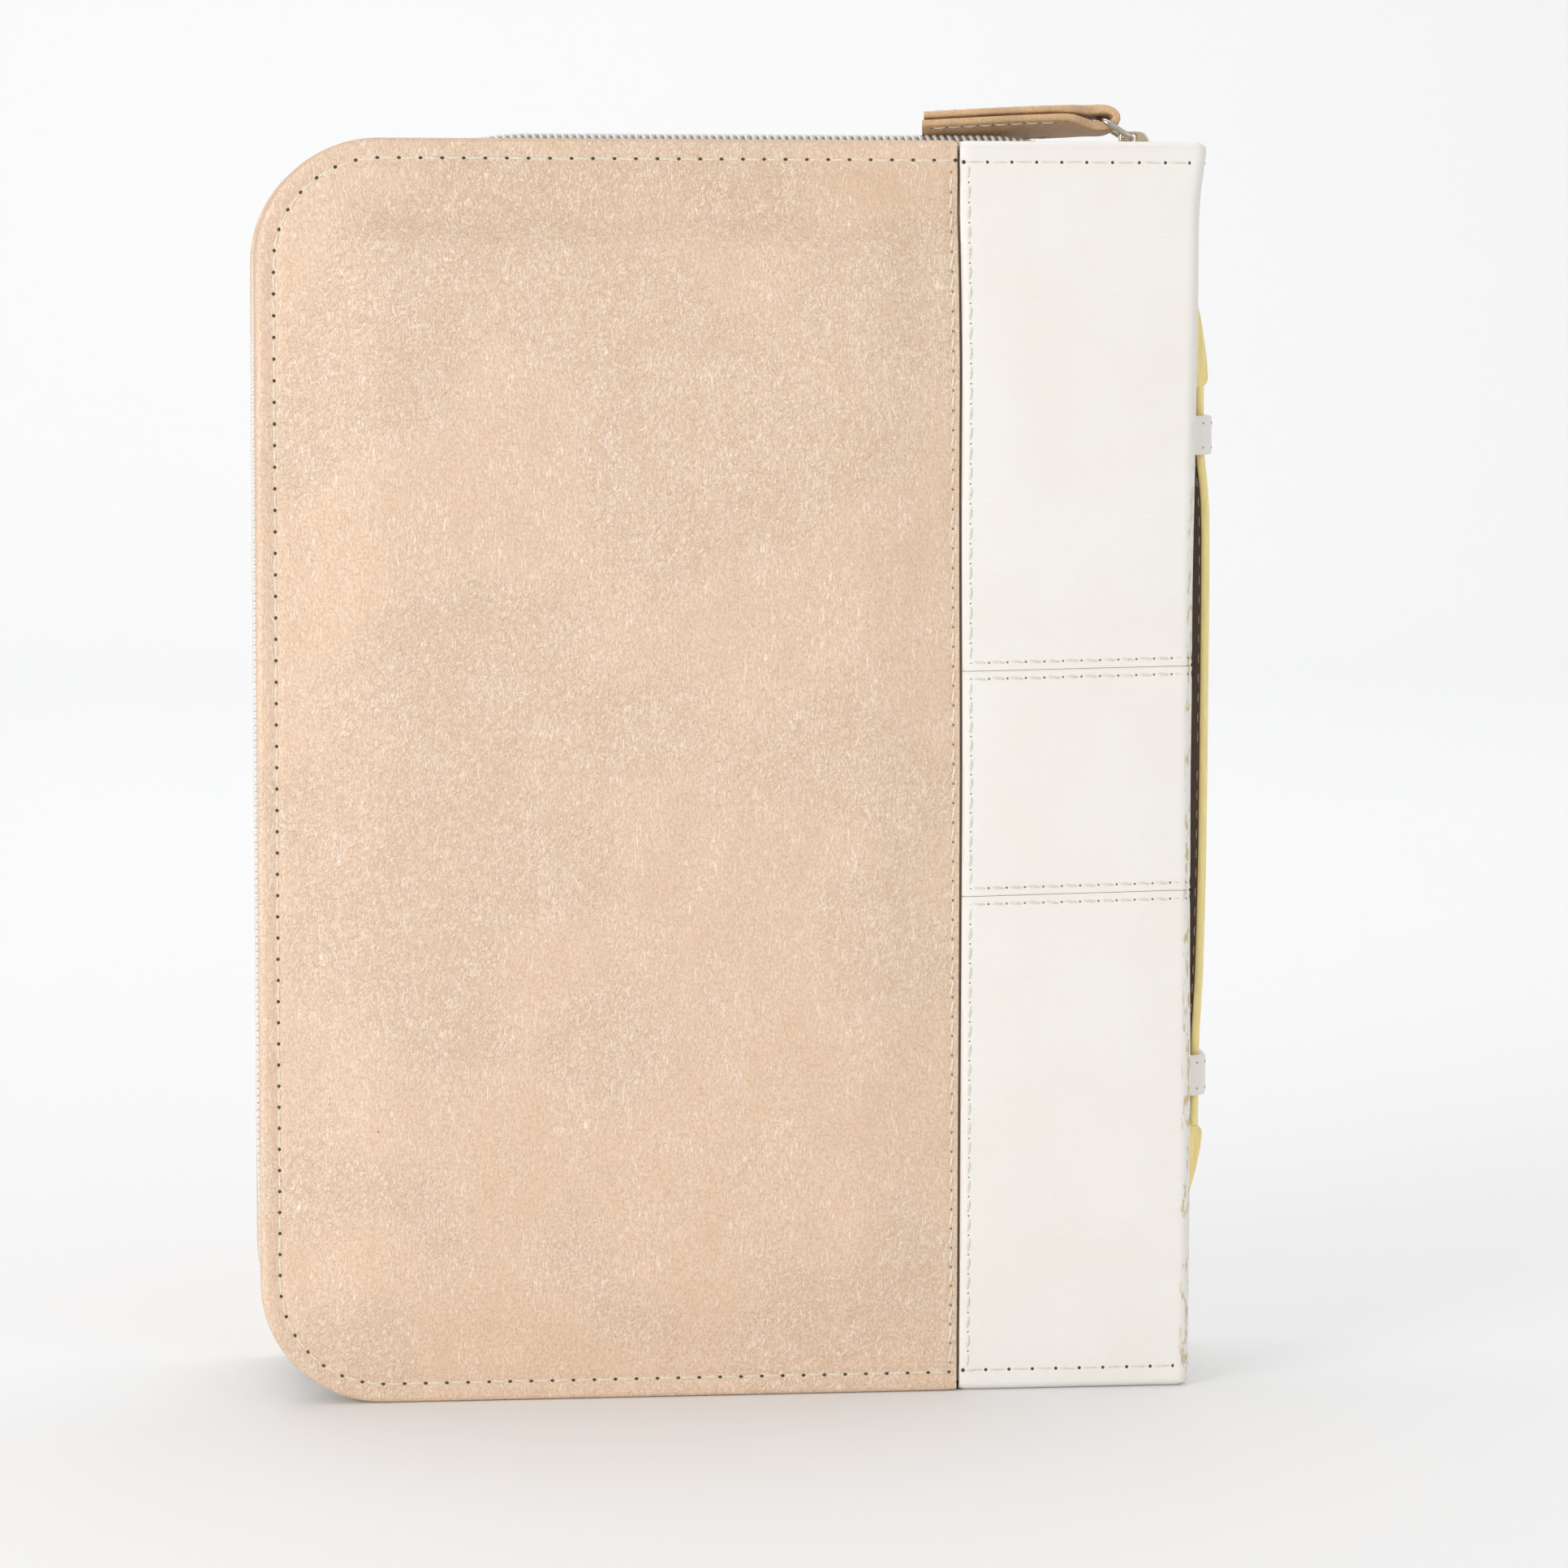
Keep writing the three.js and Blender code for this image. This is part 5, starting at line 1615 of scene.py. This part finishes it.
class PrayerBookSizes(bpy.types.PropertyGroup):
    """Sizes that a user may change."""

    crown: bpy.props.FloatProperty(
        name="Panel crown", description="How far the foam lifts the rose panel's middle", default=2.5 * MM,
        min=0.0, max=4 * MM, precision=4, unit="LENGTH")
    stitch: bpy.props.FloatProperty(
        name="Stitch pitch", description="Distance between needle holes round the rose panel",
        default=4.3 * MM, min=2 * MM, max=8 * MM, precision=4, unit="LENGTH")
    tooth: bpy.props.FloatProperty(
        name="Tooth pitch", description="Distance between zip teeth on one side", default=1.5 * MM,
        min=1 * MM, max=3 * MM, precision=4, unit="LENGTH")
    zip_bow: bpy.props.FloatProperty(
        name="Zip bow", description="How far the teeth stand up along the top edge", default=2.95 * MM,
        min=0.0, max=4 * MM, precision=4, unit="LENGTH")
    tab_roll: bpy.props.FloatProperty(
        name="Tab roll", description="How far the pull tab is turned about its length",
        default=math.radians(17), min=0.0, max=math.radians(30), subtype="ANGLE")
    world: bpy.props.FloatProperty(
        name="World strength", description="Strength of the white surroundings", default=0.6,
        min=0.0, max=3.0)
    key: bpy.props.FloatProperty(
        name="Key light", description="Power of the main soft light, in watts", default=15.0,
        min=0.0, max=200.0)
    fill: bpy.props.FloatProperty(
        name="Fill light", description="Power of the fill light, in watts", default=3.0, min=0.0, max=200.0)
    wall: bpy.props.FloatProperty(
        name="Wall light", description="Power of the light on the sweep behind, in watts", default=27.0,
        min=0.0, max=500.0)


def colour_property(label, words, value):
    """A colour property with a default."""
    return bpy.props.FloatVectorProperty(name=label, description=words, default=value, size=3, min=0.0,
                                         max=1.0, subtype="COLOR")


class PrayerBookColours(bpy.types.PropertyGroup):
    """Colours that a user may change."""

    rose: colour_property("Rose leather", "Base colour of the padded panels", (0.85, 0.64, 0.468))
    cream: colour_property("Cream leather", "Base colour of the spine side", (0.86, 0.83, 0.795))
    tab: colour_property("Tab leather", "Base colour of the pull tab", (0.60, 0.395, 0.225))
    edge: colour_property("Edge paint", "Painted edges of the strap and stoppers", (1.0, 0.80, 0.34))
    floor: colour_property("Floor", "The studio's sweep", (0.90, 0.905, 0.915))


class PRAYERBOOK_OT_rose_panels(bpy.types.Operator):
    """Make the two padded rose leather panels"""

    bl_idname = "prayerbook.rose_panels"
    bl_label = "Rose panels"

    def execute(self, context):
        for tag, side in SIDES:
            rose_panel(tag, side)
        return {"FINISHED"}


class PRAYERBOOK_OT_cream_wraps(bpy.types.Operator):
    """Make the cream leather that wraps the spine side of both covers"""

    bl_idname = "prayerbook.cream_wraps"
    bl_label = "Cream wraps"

    def execute(self, context):
        for tag, side in SIDES:
            cream_wrap(tag, side)
        return {"FINISHED"}


class PRAYERBOOK_OT_stitches(bpy.types.Operator):
    """Sew the rose panels and the cream wraps"""

    bl_idname = "prayerbook.stitches"
    bl_label = "Stitches"

    def execute(self, context):
        for tag, side in SIDES:
            rose_stitches(tag, side)
            cream_stitches(tag, side)
        return {"FINISHED"}


class PRAYERBOOK_OT_zip(bpy.types.Operator):
    """Make the zip's tapes, teeth and stops"""

    bl_idname = "prayerbook.zip"
    bl_label = "Zip"

    def execute(self, context):
        for tag, side in SIDES:
            zip_tape(tag, side)
            zip_teeth(tag, side)
            zip_stops(tag)
        return {"FINISHED"}


class PRAYERBOOK_OT_slider(bpy.types.Operator):
    """Make the slider, its wire loop and the leather tab"""

    bl_idname = "prayerbook.slider"
    bl_label = "Slider and pull"

    def execute(self, context):
        slider()
        pull_wire()
        pull_tab()
        return {"FINISHED"}


class PRAYERBOOK_OT_strap(bpy.types.Operator):
    """Make the strap with its painted edges and its stoppers"""

    bl_idname = "prayerbook.strap"
    bl_label = "Strap"

    def execute(self, context):
        strap()
        for shape in STOPPERS:
            stopper(*shape)
        return {"FINISHED"}


class PRAYERBOOK_OT_keepers(bpy.types.Operator):
    """Make the two leather loops that hold the strap"""

    bl_idname = "prayerbook.keepers"
    bl_label = "Keepers"

    def execute(self, context):
        keeper("upper")
        keeper("lower")
        return {"FINISHED"}


class PRAYERBOOK_OT_inside(bpy.types.Operator):
    """Make and finish the book, its sleeves and the linings"""

    bl_idname = "prayerbook.inside"
    bl_label = "Book and linings"

    def execute(self, context):
        inside()
        return {"FINISHED"}


class PRAYERBOOK_OT_studio(bpy.types.Operator):
    """Set up the floor, the lights and the camera"""

    bl_idname = "prayerbook.studio"
    bl_label = "Studio"

    def execute(self, context):
        studio()
        return {"FINISHED"}


MAKERS = (PRAYERBOOK_OT_rose_panels, PRAYERBOOK_OT_cream_wraps, PRAYERBOOK_OT_stitches, PRAYERBOOK_OT_zip,
          PRAYERBOOK_OT_slider, PRAYERBOOK_OT_strap, PRAYERBOOK_OT_keepers, PRAYERBOOK_OT_inside,
          PRAYERBOOK_OT_studio)


class PRAYERBOOK_PT_panel(bpy.types.Panel):
    """Sidebar panel with every maker and the sizes and colours"""

    bl_idname = "PRAYERBOOK_PT_panel"
    bl_label = "Prayer Book"
    bl_space_type = "VIEW_3D"
    bl_region_type = "UI"
    bl_category = "Prayer Book"

    def draw(self, context):
        for maker in MAKERS:
            self.layout.operator(maker.bl_idname)
        for settings in (context.scene.prayer_book_sizes, context.scene.prayer_book_colours):
            for name in type(settings).__annotations__:
                self.layout.prop(settings, name)


CLASSES = (PrayerBookSizes, PrayerBookColours, *MAKERS, PRAYERBOOK_PT_panel)


def register():
    """Register the classes and put the settings on the scene."""
    for cls in CLASSES:
        bpy.utils.register_class(cls)
    bpy.types.Scene.prayer_book_sizes = bpy.props.PointerProperty(type=PrayerBookSizes)
    bpy.types.Scene.prayer_book_colours = bpy.props.PointerProperty(type=PrayerBookColours)


def unregister():
    """Take the settings and the classes away again."""
    del bpy.types.Scene.prayer_book_colours
    del bpy.types.Scene.prayer_book_sizes
    for cls in reversed(CLASSES):
        bpy.utils.unregister_class(cls)


def main():
    """Register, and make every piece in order."""
    register()
    for maker in MAKERS:
        if getattr(bpy.ops.prayerbook, maker.bl_idname.split(".")[1])() != {"FINISHED"}:
            raise RuntimeError(f"{maker.bl_label} could not be made")


if __name__ == "__main__":
    main()
